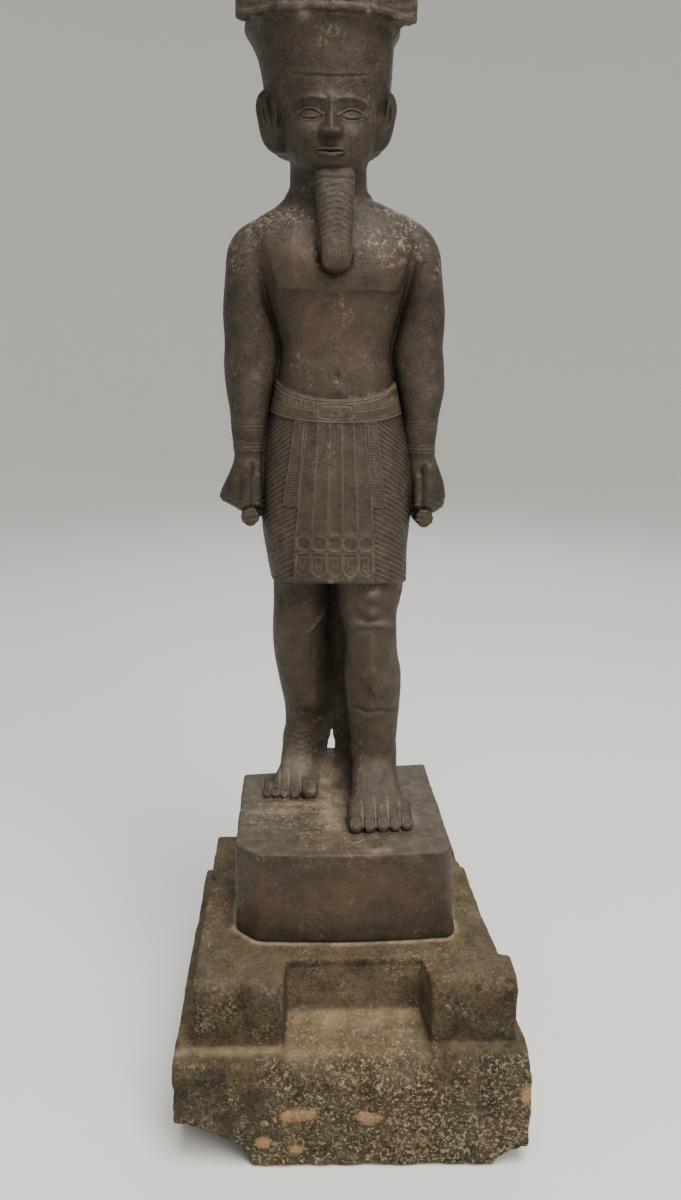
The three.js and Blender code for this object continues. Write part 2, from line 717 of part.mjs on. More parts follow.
function statue() {
  return filled(join([
    footingBlock(),
    legs(),
    kilt(),
    torso(),
    arm(rightArmRows, rightHandRows, -1),
    arm(leftArmRows, leftHandRows, 1),
    head(),
    upright(beardRows, powers.beard, 14),
    crown(),
    plumes(),
  ]));
}

function base() {
  const s = slab;
  const p = platform;
  const slabPlan = [[s.left, s.frontLeft], [s.right, s.frontRight], [s.right, s.back], [s.left, s.back]];
  let body = prism(slabPlan, 0, s.top);
  body = body.add(prism([
    [p.left, p.front], [cheekStep.right - 1, p.front], [cheekStep.right, cheekStep.back],
    [p.right, cheekStep.back + 2], [p.rightBack, p.back], [p.left, p.back],
  ], s.top - 1, p.top));
  const reach = s.frontRight - 5;
  body = body.subtract(prism(
    [[recess.left, reach], [recess.right + 2, reach], [recess.right, recess.back],
      [recess.leftBack, recess.back]],
    recess.foot, p.top + 5,
  ));
  const ramp = new THREE.Shape();
  ramp.moveTo(recess.back, recess.foot + 1);
  ramp.lineTo(recess.back, recess.foot);
  ramp.lineTo(p.front, recess.sill);
  ramp.lineTo(reach, recess.mouth);
  ramp.lineTo(reach, recess.foot + 1);
  const worn = new THREE.Shape();
  worn.moveTo(p.front - 1, p.top - p.worn);
  worn.lineTo(p.front + p.worn + 1, p.top + 1);
  worn.lineTo(p.front - 1, p.top + 1);
  [[ramp, recess.left, recess.right], [worn, s.left, s.right]].forEach(([profile, from, to]) => {
    const cut = new THREE.ExtrudeGeometry(profile, { depth: to - from, bevelEnabled: false });
    cut.rotateX(Math.PI / 2);
    cut.rotateZ(Math.PI / 2);
    cut.translate(from, 0, 0);
    body = body.subtract(solid(cut));
  });
  body = body.subtract(solid(skinRings(brokenEdge.map(([x, height]) => [
    [x, reach - 8, height - 8], [x, -118, height], [x, p.front - 1, s.top + 1], [x, p.front - 1, s.top + 9],
    [x, reach - 8, s.top + 9],
  ]))));
  chips.forEach(({ x, y, z, reach: wide, rise, depth }) => {
    const bite = new THREE.IcosahedronGeometry(1, 1);
    bite.scale(wide, depth, rise);
    bite.translate(x, y, z);
    body = body.subtract(solid(bite));
  });
  return body;
}

function stonePiece(name, body, roughness) {
  const material = new THREE.MeshStandardMaterial({ color: stoneColour, roughness, metalness: 0 });
  const mesh = new THREE.Mesh(geometryOf(body), material);
  mesh.name = name;
  return mesh;
}

const object = new THREE.Group();
object.add(stonePiece('statue', statue(), 0.6));
object.add(stonePiece('base', base(), 0.85));

export default object;
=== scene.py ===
# Stone statue of a striding figure with tall plumes, and the stepped base it stands on.
# Lengths are worked out in millimetres, and each finished mesh is made in metres.
import bpy
import math
import numpy as np
from mathutils import Matrix, Vector


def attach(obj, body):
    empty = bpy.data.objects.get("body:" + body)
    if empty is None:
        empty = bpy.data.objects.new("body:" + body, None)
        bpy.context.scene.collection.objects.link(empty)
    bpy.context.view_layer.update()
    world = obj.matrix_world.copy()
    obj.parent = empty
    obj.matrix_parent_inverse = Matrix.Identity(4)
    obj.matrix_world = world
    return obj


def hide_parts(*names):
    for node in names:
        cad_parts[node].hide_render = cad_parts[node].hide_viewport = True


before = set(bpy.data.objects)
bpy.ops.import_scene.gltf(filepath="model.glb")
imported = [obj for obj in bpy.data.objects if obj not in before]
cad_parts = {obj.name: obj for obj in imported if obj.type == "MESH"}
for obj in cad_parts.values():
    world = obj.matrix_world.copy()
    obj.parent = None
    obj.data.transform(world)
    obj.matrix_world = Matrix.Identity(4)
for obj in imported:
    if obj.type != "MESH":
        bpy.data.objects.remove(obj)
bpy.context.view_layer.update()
scene = bpy.context.scene
perMetre = 1000
print("frame loaded")


def linked(name, data):
    made = bpy.data.objects.new(name, data)
    scene.collection.objects.link(made)
    return made


cameraValues = {
    "place": (-36.9, -577.5, 473.0),
    "turn": 3.02,       # degrees towards +X
    "down": 13.33,
    "roll": 0.9,
    "lens": 27.0,
}


def addCamera(v):
    turn, down, roll = (math.radians(v[name]) for name in ("turn", "down", "roll"))
    ahead = np.array([math.sin(turn), math.cos(turn), 0.0])
    side = np.array([math.cos(turn), -math.sin(turn), 0.0])
    up = np.array([0.0, 0.0, 1.0])
    look = math.cos(down) * ahead - math.sin(down) * up
    top = math.sin(down) * ahead + math.cos(down) * up
    right = math.cos(roll) * side + math.sin(roll) * top
    top = -math.sin(roll) * side + math.cos(roll) * top
    data = bpy.data.cameras.new("camera")
    data.lens = v["lens"]
    data.sensor_width = 36.0
    data.clip_start = 0.05
    camera = linked("camera", data)
    rows = [(right[k], top[k], -look[k], v["place"][k] / perMetre) for k in range(3)]
    camera.matrix_world = Matrix((*rows, (0, 0, 0, 1)))
    scene.camera = camera


addCamera(cameraValues)


# Fields: how far a point is outside a form, in millimetres

def signedPower(value, power):
    return np.sign(value) * np.abs(value) ** power


def smoothStep(value, low, high):
    t = np.clip((value - low) / (high - low), 0, 1)
    return t * t * (3 - 2 * t)


# 1 where the skin faces the front
def faces(normal, low, high):
    return smoothStep(-normal[:, 1], low, high)


def bump(distance, reach):
    return np.exp(-((distance / reach) ** 2))


# 1 between the middle two of the four limits, and 0 beyond the outer two
def window(value, start, full, fade, end):
    return smoothStep(value, start, full) * (1 - smoothStep(value, fade, end))


# Rises from 0 to 1 and falls again as the value goes from 0 to 1
def arched(value):
    return 1 - (2 * value - 1) ** 2


def softMin(a, b, k):
    h = np.clip(0.5 + 0.5 * (b - a) / k, 0, 1)
    return b + (a - b) * h - k * h * (1 - h)


def softMax(a, b, k):
    return -softMin(-a, -b, k)


def middleAndHalf(low, high):
    return (low + high) / 2, (high - low) / 2


# From a grid cell's first corner to each of its eight corners
cornerSteps = [(i, j, k) for i in (0, 1) for j in (0, 1) for k in (0, 1)]


# A smooth random value between -1 and 1 that varies over the given size
def unevenness(p, size, seed, cells=32):
    table = np.random.default_rng(seed).uniform(-1, 1, (cells,) * 3)
    q = p / size
    cell = np.floor(q).astype(int)
    t = q - cell
    t = t * t * (3 - 2 * t)
    out = np.zeros(len(p))
    for steps in cornerSteps:
        share = [t[:, n] if one else 1 - t[:, n] for n, one in enumerate(steps)]
        corner = table[tuple((cell[:, n] + one) % cells for n, one in enumerate(steps))]
        out += share[0] * share[1] * share[2] * corner
    return out


# The rows of a form as smooth curves of its four sides, with one value each half millimetre
def smoothRows(rows):
    table = np.array(rows, float)
    if table[0, 0] > table[-1, 0]:
        table = table[::-1]
    at = np.arange(table[0, 0], table[-1, 0] + 0.5, 0.5)
    i = np.clip(np.searchsorted(table[:, 0], at, side="right") - 1, 0, len(table) - 2)
    a, b = table[i], table[i + 1]
    before, after = table[np.maximum(i - 1, 0)], table[np.minimum(i + 2, len(table) - 1)]
    span = b[:, :1] - a[:, :1]
    t = np.clip((at[:, None] - a[:, :1]) / span, 0, 1)
    slopeIn = (b - before) / (b[:, :1] - before[:, :1]) * span
    slopeOut = (after - a) / (after[:, :1] - a[:, :1]) * span
    curve = (
        (2 * t ** 3 - 3 * t ** 2 + 1) * a + (t ** 3 - 2 * t ** 2 + t) * slopeIn
        + (-2 * t ** 3 + 3 * t ** 2) * b + (t ** 3 - t ** 2) * slopeOut
    )
    return {"at": at, "sides": curve[:, 1:]}


def rowAt(smooth, at):
    return [np.interp(at, smooth["at"], smooth["sides"][:, k]) for k in range(4)]


def sectionAt(smooth, at):
    left, right, front, back = rowAt(smooth, at)
    return *middleAndHalf(left, right), *middleAndHalf(front, back)


# One level section: an ellipse at power 2, and boxier above it
def sectionField(smooth, power, x, y, at):
    middleX, halfX, middleY, halfY = sectionAt(smooth, at)
    u = np.abs(x - middleX) / halfX + 1e-4
    v = np.abs(y - middleY) / halfY + 1e-4
    reach = np.maximum((u ** power + v ** power) ** (1 / power), 0.1)
    slope = reach ** (1 - power) * np.hypot(u ** (power - 1) / halfX, v ** (power - 1) / halfY)
    return (reach - 1) / slope


def aForm(low, high, blend, field):
    return {
        "low": np.array(low, float), "high": np.array(high, float), "blend": blend, "field": field,
    }


# A form that stands: level rows from its foot to its top, with softened ends
def standing(rows, power, blend=3.0, cap=1.0):
    smooth = smoothRows(rows)
    first, last = smooth["at"][0], smooth["at"][-1]
    low = [smooth["sides"][:, 0].min(), smooth["sides"][:, 2].min(), first]
    high = [smooth["sides"][:, 1].max(), smooth["sides"][:, 3].max(), last]

    def field(p):
        side = sectionField(smooth, power, *p.T)
        return softMax(side, np.maximum(first - p[:, 2], p[:, 2] - last), cap)
    return aForm(low, high, blend, field)


# A form that lies along the depth: upright rows of depth, left, right, bottom, top
def lying(rows, power, blend=3.0, cap=2.0):
    smooth = smoothRows(rows)
    first, last = smooth["at"][0], smooth["at"][-1]
    low = [smooth["sides"][:, 0].min(), first, smooth["sides"][:, 2].min()]
    high = [smooth["sides"][:, 1].max(), last, smooth["sides"][:, 3].max()]

    def field(p):
        side = sectionField(smooth, power, p[:, 0], p[:, 2], p[:, 1])
        return softMax(side, np.maximum(first - p[:, 1], p[:, 1] - last), cap)
    return aForm(low, high, blend, field)


def ellipsoid(centre, radii, blend=2.0, turn=0.0):
    centre, radii = np.array(centre, float), np.array(radii, float)
    reach = np.full(3, radii.max())
    c, s = math.cos(turn), math.sin(turn)

    def field(p):
        q = p - centre
        q = np.stack([c * q[:, 0] + s * q[:, 1], -s * q[:, 0] + c * q[:, 1], q[:, 2]], 1)
        near = np.linalg.norm(q / radii, axis=1) + 1e-6
        slope = np.linalg.norm(q / radii ** 2, axis=1) + 1e-6
        return near * (near - 1) / slope
    return aForm(centre - reach, centre + reach, blend, field)


# A rod between two points, with a radius at each end
def rod(start, end, startRadius, endRadius, blend=2.0):
    start, end = np.array(start, float), np.array(end, float)
    along = end - start
    thick = max(startRadius, endRadius)

    def field(p):
        t = np.clip(((p - start) @ along) / (along @ along), 0, 1)
        return (
            np.linalg.norm(p - (start + t[:, None] * along), axis=1)
            - (startRadius + t * (endRadius - startRadius))
        )
    return aForm(np.minimum(start, end) - thick, np.maximum(start, end) + thick, blend, field)


# A block bounded by flat or bowed sides, each a function of the point, with worn edges
def block(low, high, sides, edge, blend=1.0):
    def field(p):
        out = sides[0](p)
        for one in sides[1:]:
            out = softMax(out, one(p), edge)
        return out
    return aForm(low, high, blend, field)


# A box's own sides: front, back, left, right, bottom, top
def flatSides(low, high):
    def side(axis, at, way):
        return lambda p: way * (p[:, axis] - at)
    return [
        side(axis, at, way) for axis in (1, 0, 2) for at, way in ((low[axis], -1), (high[axis], 1))
    ]


def cutBy(form, cutter, edge):
    whole = form["field"]
    return {**form, "field": lambda p: softMax(whole(p), -cutter(p), edge)}


farAway = 60.0
formMargin = 9.0
biteMargin = 12.0


# Which points are in a form's box or just outside it
def nearForm(form, p, margin):
    inBox = (p > form["low"] - margin) & (p < form["high"] + margin)
    return np.flatnonzero(inBox.all(axis=1))


def unite(forms):
    def field(p):
        out = np.full(len(p), farAway)
        for form in forms:
            near = nearForm(form, p, formMargin)
            if len(near):
                out[near] = softMin(out[near], form["field"](p[near]), form["blend"])
        return out
    return field


def inChunks(field, points, size=400000):
    return np.concatenate([field(points[i:i + size]) for i in range(0, max(len(points), 1), size)])


# The eight shifted views of a grid, one for each corner of its cells
def shiftedViews(values, size):
    return [values[i:i + size[0], j:j + size[1], k:k + size[2]] for i, j, k in cornerSteps]


def repeated(values, times):
    for axis in range(3):
        values = np.repeat(values, times, axis=axis)
    return values


# A skin of quads where the field is zero: one point in each grid cell that the surface crosses
def skinOf(field, low, high, step, coarse=4):
    low = np.array(low, float)
    cells = np.ceil((np.array(high, float) - low) / (step * coarse)).astype(int) + 1
    fine = cells * coarse + 1
    axes = [low[k] + np.arange(cells[k] + 1) * step * coarse for k in range(3)]
    grid = np.stack(np.meshgrid(*axes, indexing="ij"), -1).reshape(-1, 3)
    rough = inChunks(field, grid).reshape(cells + 1)
    corners = shiftedViews(rough, cells)
    nearest = np.min(np.abs(corners), axis=0)
    values = repeated(np.where(corners[0] < 0, -farAway, farAway), coarse)
    values = np.pad(values, [(0, 1)] * 3, mode="edge")
    wanted = np.zeros(fine, bool)
    busy = repeated(nearest < step * coarse * 1.5, coarse)
    for view in shiftedViews(wanted, busy.shape):
        view |= busy
    index = np.argwhere(wanted)
    values[wanted] = inChunks(field, low + index * step)
    inside = values < 0
    count = np.zeros(np.array(inside.shape) - 1, np.uint8)
    for view in shiftedViews(inside, count.shape):
        count += view
    cell = np.argwhere((count > 0) & (count < 8))
    number = np.full(count.shape, -1, np.int32)
    number[tuple(cell.T)] = np.arange(len(cell))
    corner = np.stack([values[tuple((cell + steps).T)] for steps in cornerSteps], 1)
    total, weight = np.zeros((len(cell), 3)), np.zeros(len(cell))
    place = np.array(cornerSteps, float)
    for a in range(8):
        for b in range(a + 1, 8):
            if np.abs(place[a] - place[b]).sum() != 1:
                continue
            crosses = (corner[:, a] < 0) != (corner[:, b] < 0)
            t = corner[crosses, a] / (corner[crosses, a] - corner[crosses, b])
            total[crosses] += place[a] + t[:, None] * (place[b] - place[a])
            weight[crosses] += 1
    points = low + (cell + total / weight[:, None]) * step
    faces = []
    for axis in range(3):
        one, two = [slice(None)] * 3, [slice(None)] * 3
        one[axis], two[axis] = slice(0, -1), slice(1, None)
        first, second = inside[tuple(one)], inside[tuple(two)]
        edge = np.argwhere(first != second)
        across = [k for k in range(3) if k != axis]
        edge = edge[(edge[:, across[0]] > 0) & (edge[:, across[1]] > 0)]
        filled = first[tuple(edge.T)]
        ring = []
        for da, db in ((1, 1), (0, 1), (0, 0), (1, 0)):
            at = edge.copy()
            at[:, across[0]] -= da
            at[:, across[1]] -= db
            ring.append(number[tuple(at.T)])
        quad = np.stack(ring, 1)
        turned = filled if axis != 1 else ~filled
        quad[~turned] = quad[~turned][:, ::-1]
        faces.append(quad)
    faces = np.concatenate(faces)
    return points, faces[(faces >= 0).all(axis=1)]


# Each quad as two triangles, across its shorter diagonal
def triangled(points, quads):
    first = np.linalg.norm(points[quads[:, 0]] - points[quads[:, 2]], axis=1)
    second = np.linalg.norm(points[quads[:, 1]] - points[quads[:, 3]], axis=1)
    short = (first <= second)[:, None]
    one = np.where(short, quads[:, [0, 1, 2]], quads[:, [0, 1, 3]])
    two = np.where(short, quads[:, [0, 2, 3]], quads[:, [1, 2, 3]])
    return np.concatenate([one, two])


# Halves the edges of the triangles chosen, and of their neighbours where they share one
def refined(points, tris, chosen):
    ends = np.stack([tris, np.roll(tris, -1, axis=1)], 2).reshape(-1, 2)
    ends = np.sort(ends, axis=1)
    keys = ends[:, 0].astype(np.int64) * len(points) + ends[:, 1]
    unique, which = np.unique(keys, return_inverse=True)
    which = which.reshape(-1, 3)
    split = np.zeros(len(unique), bool)
    split[which[chosen].ravel()] = True
    place = np.full(len(unique), -1)
    place[split] = len(points) + np.arange(split.sum())
    a, b = unique[split] // len(points), unique[split] % len(points)
    points = np.concatenate([points, (points[a] + points[b]) / 2])
    middle = place[which]
    cut = middle >= 0
    amount = cut.sum(axis=1)
    made = [tris[amount == 0]]

    def add(rows, *corners):
        made.append(np.stack([values[rows, k] for values, k in corners], 1))
    for turn in range(3):
        t, m, c = (np.roll(values, -turn, axis=1) for values in (tris, middle, cut))
        one = (amount == 1) & c[:, 0]
        add(one, (t, 0), (m, 0), (t, 2))
        add(one, (m, 0), (t, 1), (t, 2))
        two = (amount == 2) & c[:, 0] & c[:, 1]
        add(two, (m, 0), (t, 1), (m, 1))
        add(two, (t, 0), (m, 0), (t, 2))
        add(two, (m, 0), (m, 1), (t, 2))
    full = amount == 3
    t, m = tris, middle
    add(full, (t, 0), (m, 0), (m, 2))
    add(full, (m, 0), (t, 1), (m, 1))
    add(full, (m, 2), (m, 1), (t, 2))
    add(full, (m, 0), (m, 1), (m, 2))
    return points, np.concatenate(made)


def slopeOf(field, points, step=0.25):
    slope = np.empty_like(points)
    for axis in range(3):
        shift = np.zeros(3)
        shift[axis] = step
        slope[:, axis] = (
            (inChunks(field, points + shift) - inChunks(field, points - shift)) / (2 * step)
        )
    return slope


# Moves points onto the surface
def settled(field, points, rounds=2, most=0.8):
    for _ in range(rounds):
        value = inChunks(field, points)
        slope = slopeOf(field, points)
        steep = np.maximum((slope ** 2).sum(axis=1), 0.15)
        move = slope * (value / steep)[:, None]
        length = np.linalg.norm(move, axis=1, keepdims=True)
        points = points - move * np.minimum(1, most / np.maximum(length, 1e-6))
    return points


def normalsOf(points, tris):
    a, b, c = (points[tris[:, k]] for k in range(3))
    face = np.cross(b - a, c - a)
    normal = np.zeros_like(points)
    for k in range(3):
        for axis in range(3):
            normal[:, axis] += np.bincount(tris[:, k], face[:, axis], len(points))
    return normal / np.maximum(np.linalg.norm(normal, axis=1, keepdims=True), 1e-9)


# Rows of the figure's forms, the same as the solids': height, left, right, front, back
kiltRows = [
    [343, -53, 38.8, 4, 81], [355, -55.4, 40.4, 3.5, 83], [378, -59.2, 42.8, 4, 86],
    [404, -60.5, 44.4, 6, 88], [430, -59, 41.4, 9, 86], [457, -53.4, 34.8, 13, 79],
    [474, -49.8, 29.8, 16.4, 73.4], [479, -49.4, 29.2, 17, 73.4],
]
torsoRows = [
    [448, -52, 34, 17, 77], [477, -49, 28.6, 18, 73], [495, -46.6, 26.4, 19.5, 71],
    [518, -52.6, 31.2, 16.5, 75], [538, -61, 38, 13.5, 79], [556, -70, 46, 15, 80],
    [568, -70, 47, 19, 77], [577, -62, 41, 23, 74], [584, -51, 28, 26.5, 71],
    [590, -42.5, 12, 30, 67],
]
neckRows = [
    [574, -44, 14, 25, 75], [586, -42, 10.5, 24, 73], [598, -40.8, 9, 21, 74],
    [616, -40.5, 8.6, 20, 78],
]
headRows = [
    [599, -25, -7.5, 12.5, 32], [603, -33, 1, 9.6, 44], [610, -39.8, 8.4, 8.8, 62],
    [620, -44.2, 12.6, 8.8, 74], [632, -46.6, 14.6, 9.2, 80], [640, -47.8, 15.6, 9.4, 82],
    [647, -51, 18.4, 9.5, 84], [652, -54.4, 21, 9.4, 86], [657, -55.6, 22, 9.4, 86.5],
]
crownRows = [
    [612, -52, 18, 14, 84], [636, -55.4, 21, 11.4, 87], [655, -57.4, 22.8, 9.0, 88.5],
    [670, -60.4, 23.6, 7, 90], [680, -64.8, 24.4, 4.6, 92], [687, -69.6, 28.4, 2, 94],
]
beardRows = [
    [542.6, -17.4, -6.2, 4.6, 22], [545, -19.6, -4.2, 1.6, 26], [550, -20.8, -3.2, 0.5, 28],
    [570, -23.2, -2.2, 1.5, 30], [597, -25.6, -0.8, 5, 30], [600.5, -25.2, -1.2, 9, 30],
    [604, -24.5, -2, 14, 30],
]
rearLegRows = [
    [190, -46.5, -19.5, 47, 76], [208, -45, -19, 49, 77], [222, -43.4, -18.4, 50, 76],
    [237, -43.4, -17.8, 49, 76], [250, -45.4, -16.6, 46, 78], [266, -48.6, -14.6, 42, 81],
    [284, -51.6, -13, 38, 82], [302, -52.4, -12.6, 34, 79], [322, -51.8, -12, 31, 76],
    [352, -52, -10, 28, 80],
]
frontLegRows = [
    [190, 6.5, 36.8, 17, 49], [208, 6.3, 36.8, 19, 50], [224, 4.4, 37.2, 19, 50],
    [242, 1.8, 38.4, 17, 52], [264, -0.8, 39.2, 12, 56], [278, -1.8, 38.6, 9, 57],
    [292, -0.8, 35.6, 7, 54], [306, -1.6, 34.6, 5, 51], [322, -5.4, 34.0, 4, 51],
    [331, -6.6, 36.0, 4, 52], [340, -7.4, 37.8, 4.6, 54], [352, -8, 38.0, 5.6, 58],
    [400, -6, 36, 14, 60],
]
rightArmRows = [
    [428, -77.5, -57, 28, 52], [440, -78.8, -56, 27, 53], [456, -80.4, -54, 26, 56],
    [472, -83, -51, 27, 59], [486, -84.2, -48, 29, 61], [500, -83.6, -47.5, 29, 63],
    [520, -84.4, -53, 27, 66], [545, -82.4, -54, 25, 69], [557, -81.4, -52, 26, 69],
    [565, -78, -50, 29, 67], [572, -71.6, -50, 33, 63], [577, -62, -50, 39, 57],
]
leftArmRows = [
    [428, 37, 57.8, 28, 52], [440, 36, 58.4, 27, 53], [456, 34.6, 60.6, 26, 56],
    [472, 31, 63.4, 27, 59], [486, 28, 63.2, 29, 61], [500, 27.5, 62, 29, 63],
    [520, 32, 62.4, 27, 66], [545, 33, 59.4, 25, 69], [557, 30, 58, 26, 69],
    [566, 28, 54.6, 29, 67], [574, 28, 47.6, 33, 63], [580, 28, 38, 39, 57],
]
rightHandRows = [
    [388.6, -72.6, -58.6, 29, 50], [390.4, -75.6, -58.2, 27.6, 52], [393.6, -81, -57.6, 26.2, 53.4],
    [396.6, -86.4, -57.2, 25.4, 54.4], [399.6, -87.8, -57, 25, 55], [404, -86.4, -57, 24.6, 55],
    [412, -82.8, -57, 24.8, 54], [420, -79.2, -57.2, 26.2, 52.6], [427, -77.7, -57.3, 28, 52],
    [433, -77.6, -57.4, 28, 52],
]
leftHandRows = [
    [388.6, 42.6, 57.6, 29, 50], [390.8, 41.6, 61, 27.6, 52], [394, 40.8, 65.4, 26.2, 53.8],
    [398, 40, 66.4, 25.2, 54.8], [402.6, 39.4, 66.5, 24.7, 55], [408.6, 38.8, 65.5, 24.7, 54.6],
    [414, 38.4, 63.8, 25.4, 53.8], [420.6, 38, 61.2, 26.4, 53], [427, 37.7, 58.8, 28, 52],
    [433, 37.4, 57.8, 28, 52],
]
# Feet: depth, left, right, bottom, top
frontFootRows = [
    [49, 12, 32, 176, 196], [42, 8, 36, 176, 210], [30, 6.2, 37.4, 176, 222],
    [17, 4.6, 38.4, 176, 213], [2, 2.2, 41, 176, 200], [-10, 0.6, 43.6, 176, 192],
    [-18, 0.4, 44.6, 176, 187],
]
rearFootRows = [
    [78, -43, -22, 176, 196], [72, -44.4, -19.6, 176, 206], [60, -45.4, -19, 176, 212],
    [50, -48.4, -18.8, 176, 204], [40, -54.6, -19, 176, 193], [33, -58.4, -19.6, 176, 188],
]
# The crown's lower edge, from its front to its back: depth, height from the rim, steepness
crownEdge = [
    [-20, 0, 0], [22, 1, 0.1], [31, -0.5, 0.4], [36, -5, 1.2], [40, -14, 2.0], [46, -24, 1.1],
    [58, -31, 0.4], [80, -33.5, 0.1], [110, -34, 0],
]
# Ears: height, reach from the head's middle line, root, front, back
earRows = [
    [616.0, 33, 24, 40, 48], [619, 37.2, 24, 37.4, 50], [624, 40.6, 24, 35.6, 52],
    [635, 43.4, 24, 34, 53], [642, 44.4, 24, 34, 53], [649, 42.8, 24, 35, 53],
    [653.5, 38, 26, 38, 51],
]

figureValues = {
    "kiltPower": 2.35, "torsoPower": 2.45, "headPower": 2.5, "crownPower": 2.3,
    "limbPower": 2.15, "handPower": 2.5, "footPower": 2.5, "beardPower": 3.6,
    "crownRim": 652.0, "crownMiddle": -16.5,
    "earMiddle": -17.8, "earLift": 1.4,
    "frontToes": {
        "inner": 0.2, "outer": 44.8, "tip": -26.0, "root": -8.0,
        "shares": (0.225, 0.2, 0.2, 0.175, 0.2),
    },
    "rearToes": {
        "inner": -19.4, "outer": -59.0, "tip": 27.0, "root": 41.0,
        "shares": (0.315, 0.215, 0.165, 0.165, 0.14),
    },
    "footing": {
        "bottom": 115.6, "top": 179.0, "left": -75.5, "right": 68.0, "rightFoot": 73.0,
        "front": -49.0, "bow": 4.0, "back": 84.0, "skew": 9.0, "corner": 15.0,
    },
    "plume": {
        "left": -73.4, "right": 35.4, "front": 0.0, "bow": 19.0, "back": 34.0, "foot": 682.0,
        "top": 832.0, "shoulder": 20.0,
    },
    "armWeb": [(-70, 46, 436), (48, 60, 560)],
    "legWeb": {
        "low": (-30, 36, 177), "high": (16, 70, 352), "front": 56, "slant": 13,
        "holeHeights": (203, 206, 214, 218, 224), "holeHalves": (3.0, 3.2, 2.4, 1.0, 0.5),
        "holeMiddles": (-8.7, -8.4),
    },
    # Soft lumps: centre, radii, blend
    "kneeLumps": [
        [(15.5, 9.0, 326), (5.4, 7.2, 4.4), 2.4], [(15.0, 9.0, 336.6), (7.2, 7.2, 4.8), 2.4],
        [(15.8, 10.0, 317.5), (13.0, 6.8, 3.2), 3.0], [(-8, 48, 177.6), (14, 20, 4.2), 8.0],
        [(-32, 38.0, 322), (9.4, 7.0, 9.0), 4.0],
    ],
    "ankleLumps": [
        [(34.2, 36, 214), (2.8, 6.5, 7.5), 4.0], [(8.2, 34, 217), (3.2, 6.5, 7.5), 4.0],
        [(-41.6, 62, 214), (2.8, 6.0, 7.5), 4.0], [(-20.8, 61, 215), (3.2, 6.5, 7.5), 4.0],
    ],
    # Thumb and forefinger: start and end, inwards from the hand's edge, then radii and blend
    "fingers": [
        [(10, 27.5, 420), (10.4, 26.4, 398), 5.0, 4.6, 1.2],
        [(3.4, 27.6, 414), (3.6, 27.4, 396), 3.2, 3.2, 0.9],
    ],
    "rod": {"inset": 8.2, "front": 22.6, "back": 56.0, "height": 387.2, "radius": 6.3},
    "skinBox": [(-93, -62, 108), (83, 103, 840)],
    "skinStep": 1.15,
}

# The face's canon: three equal parts from crown rim to chin, an eye one fifth of the head wide
faceValues = {
    "middle": -16.0, "chin": 600.0, "brow": 638.6, "eye": 630.6, "noseBase": 617.6, "mouth": 609.6,
    "eyeOut": 12.6, "eyeHalf": 6.6, "upperLid": 2.9, "lowerLid": 1.7, "mouthHalf": 9.6,
}


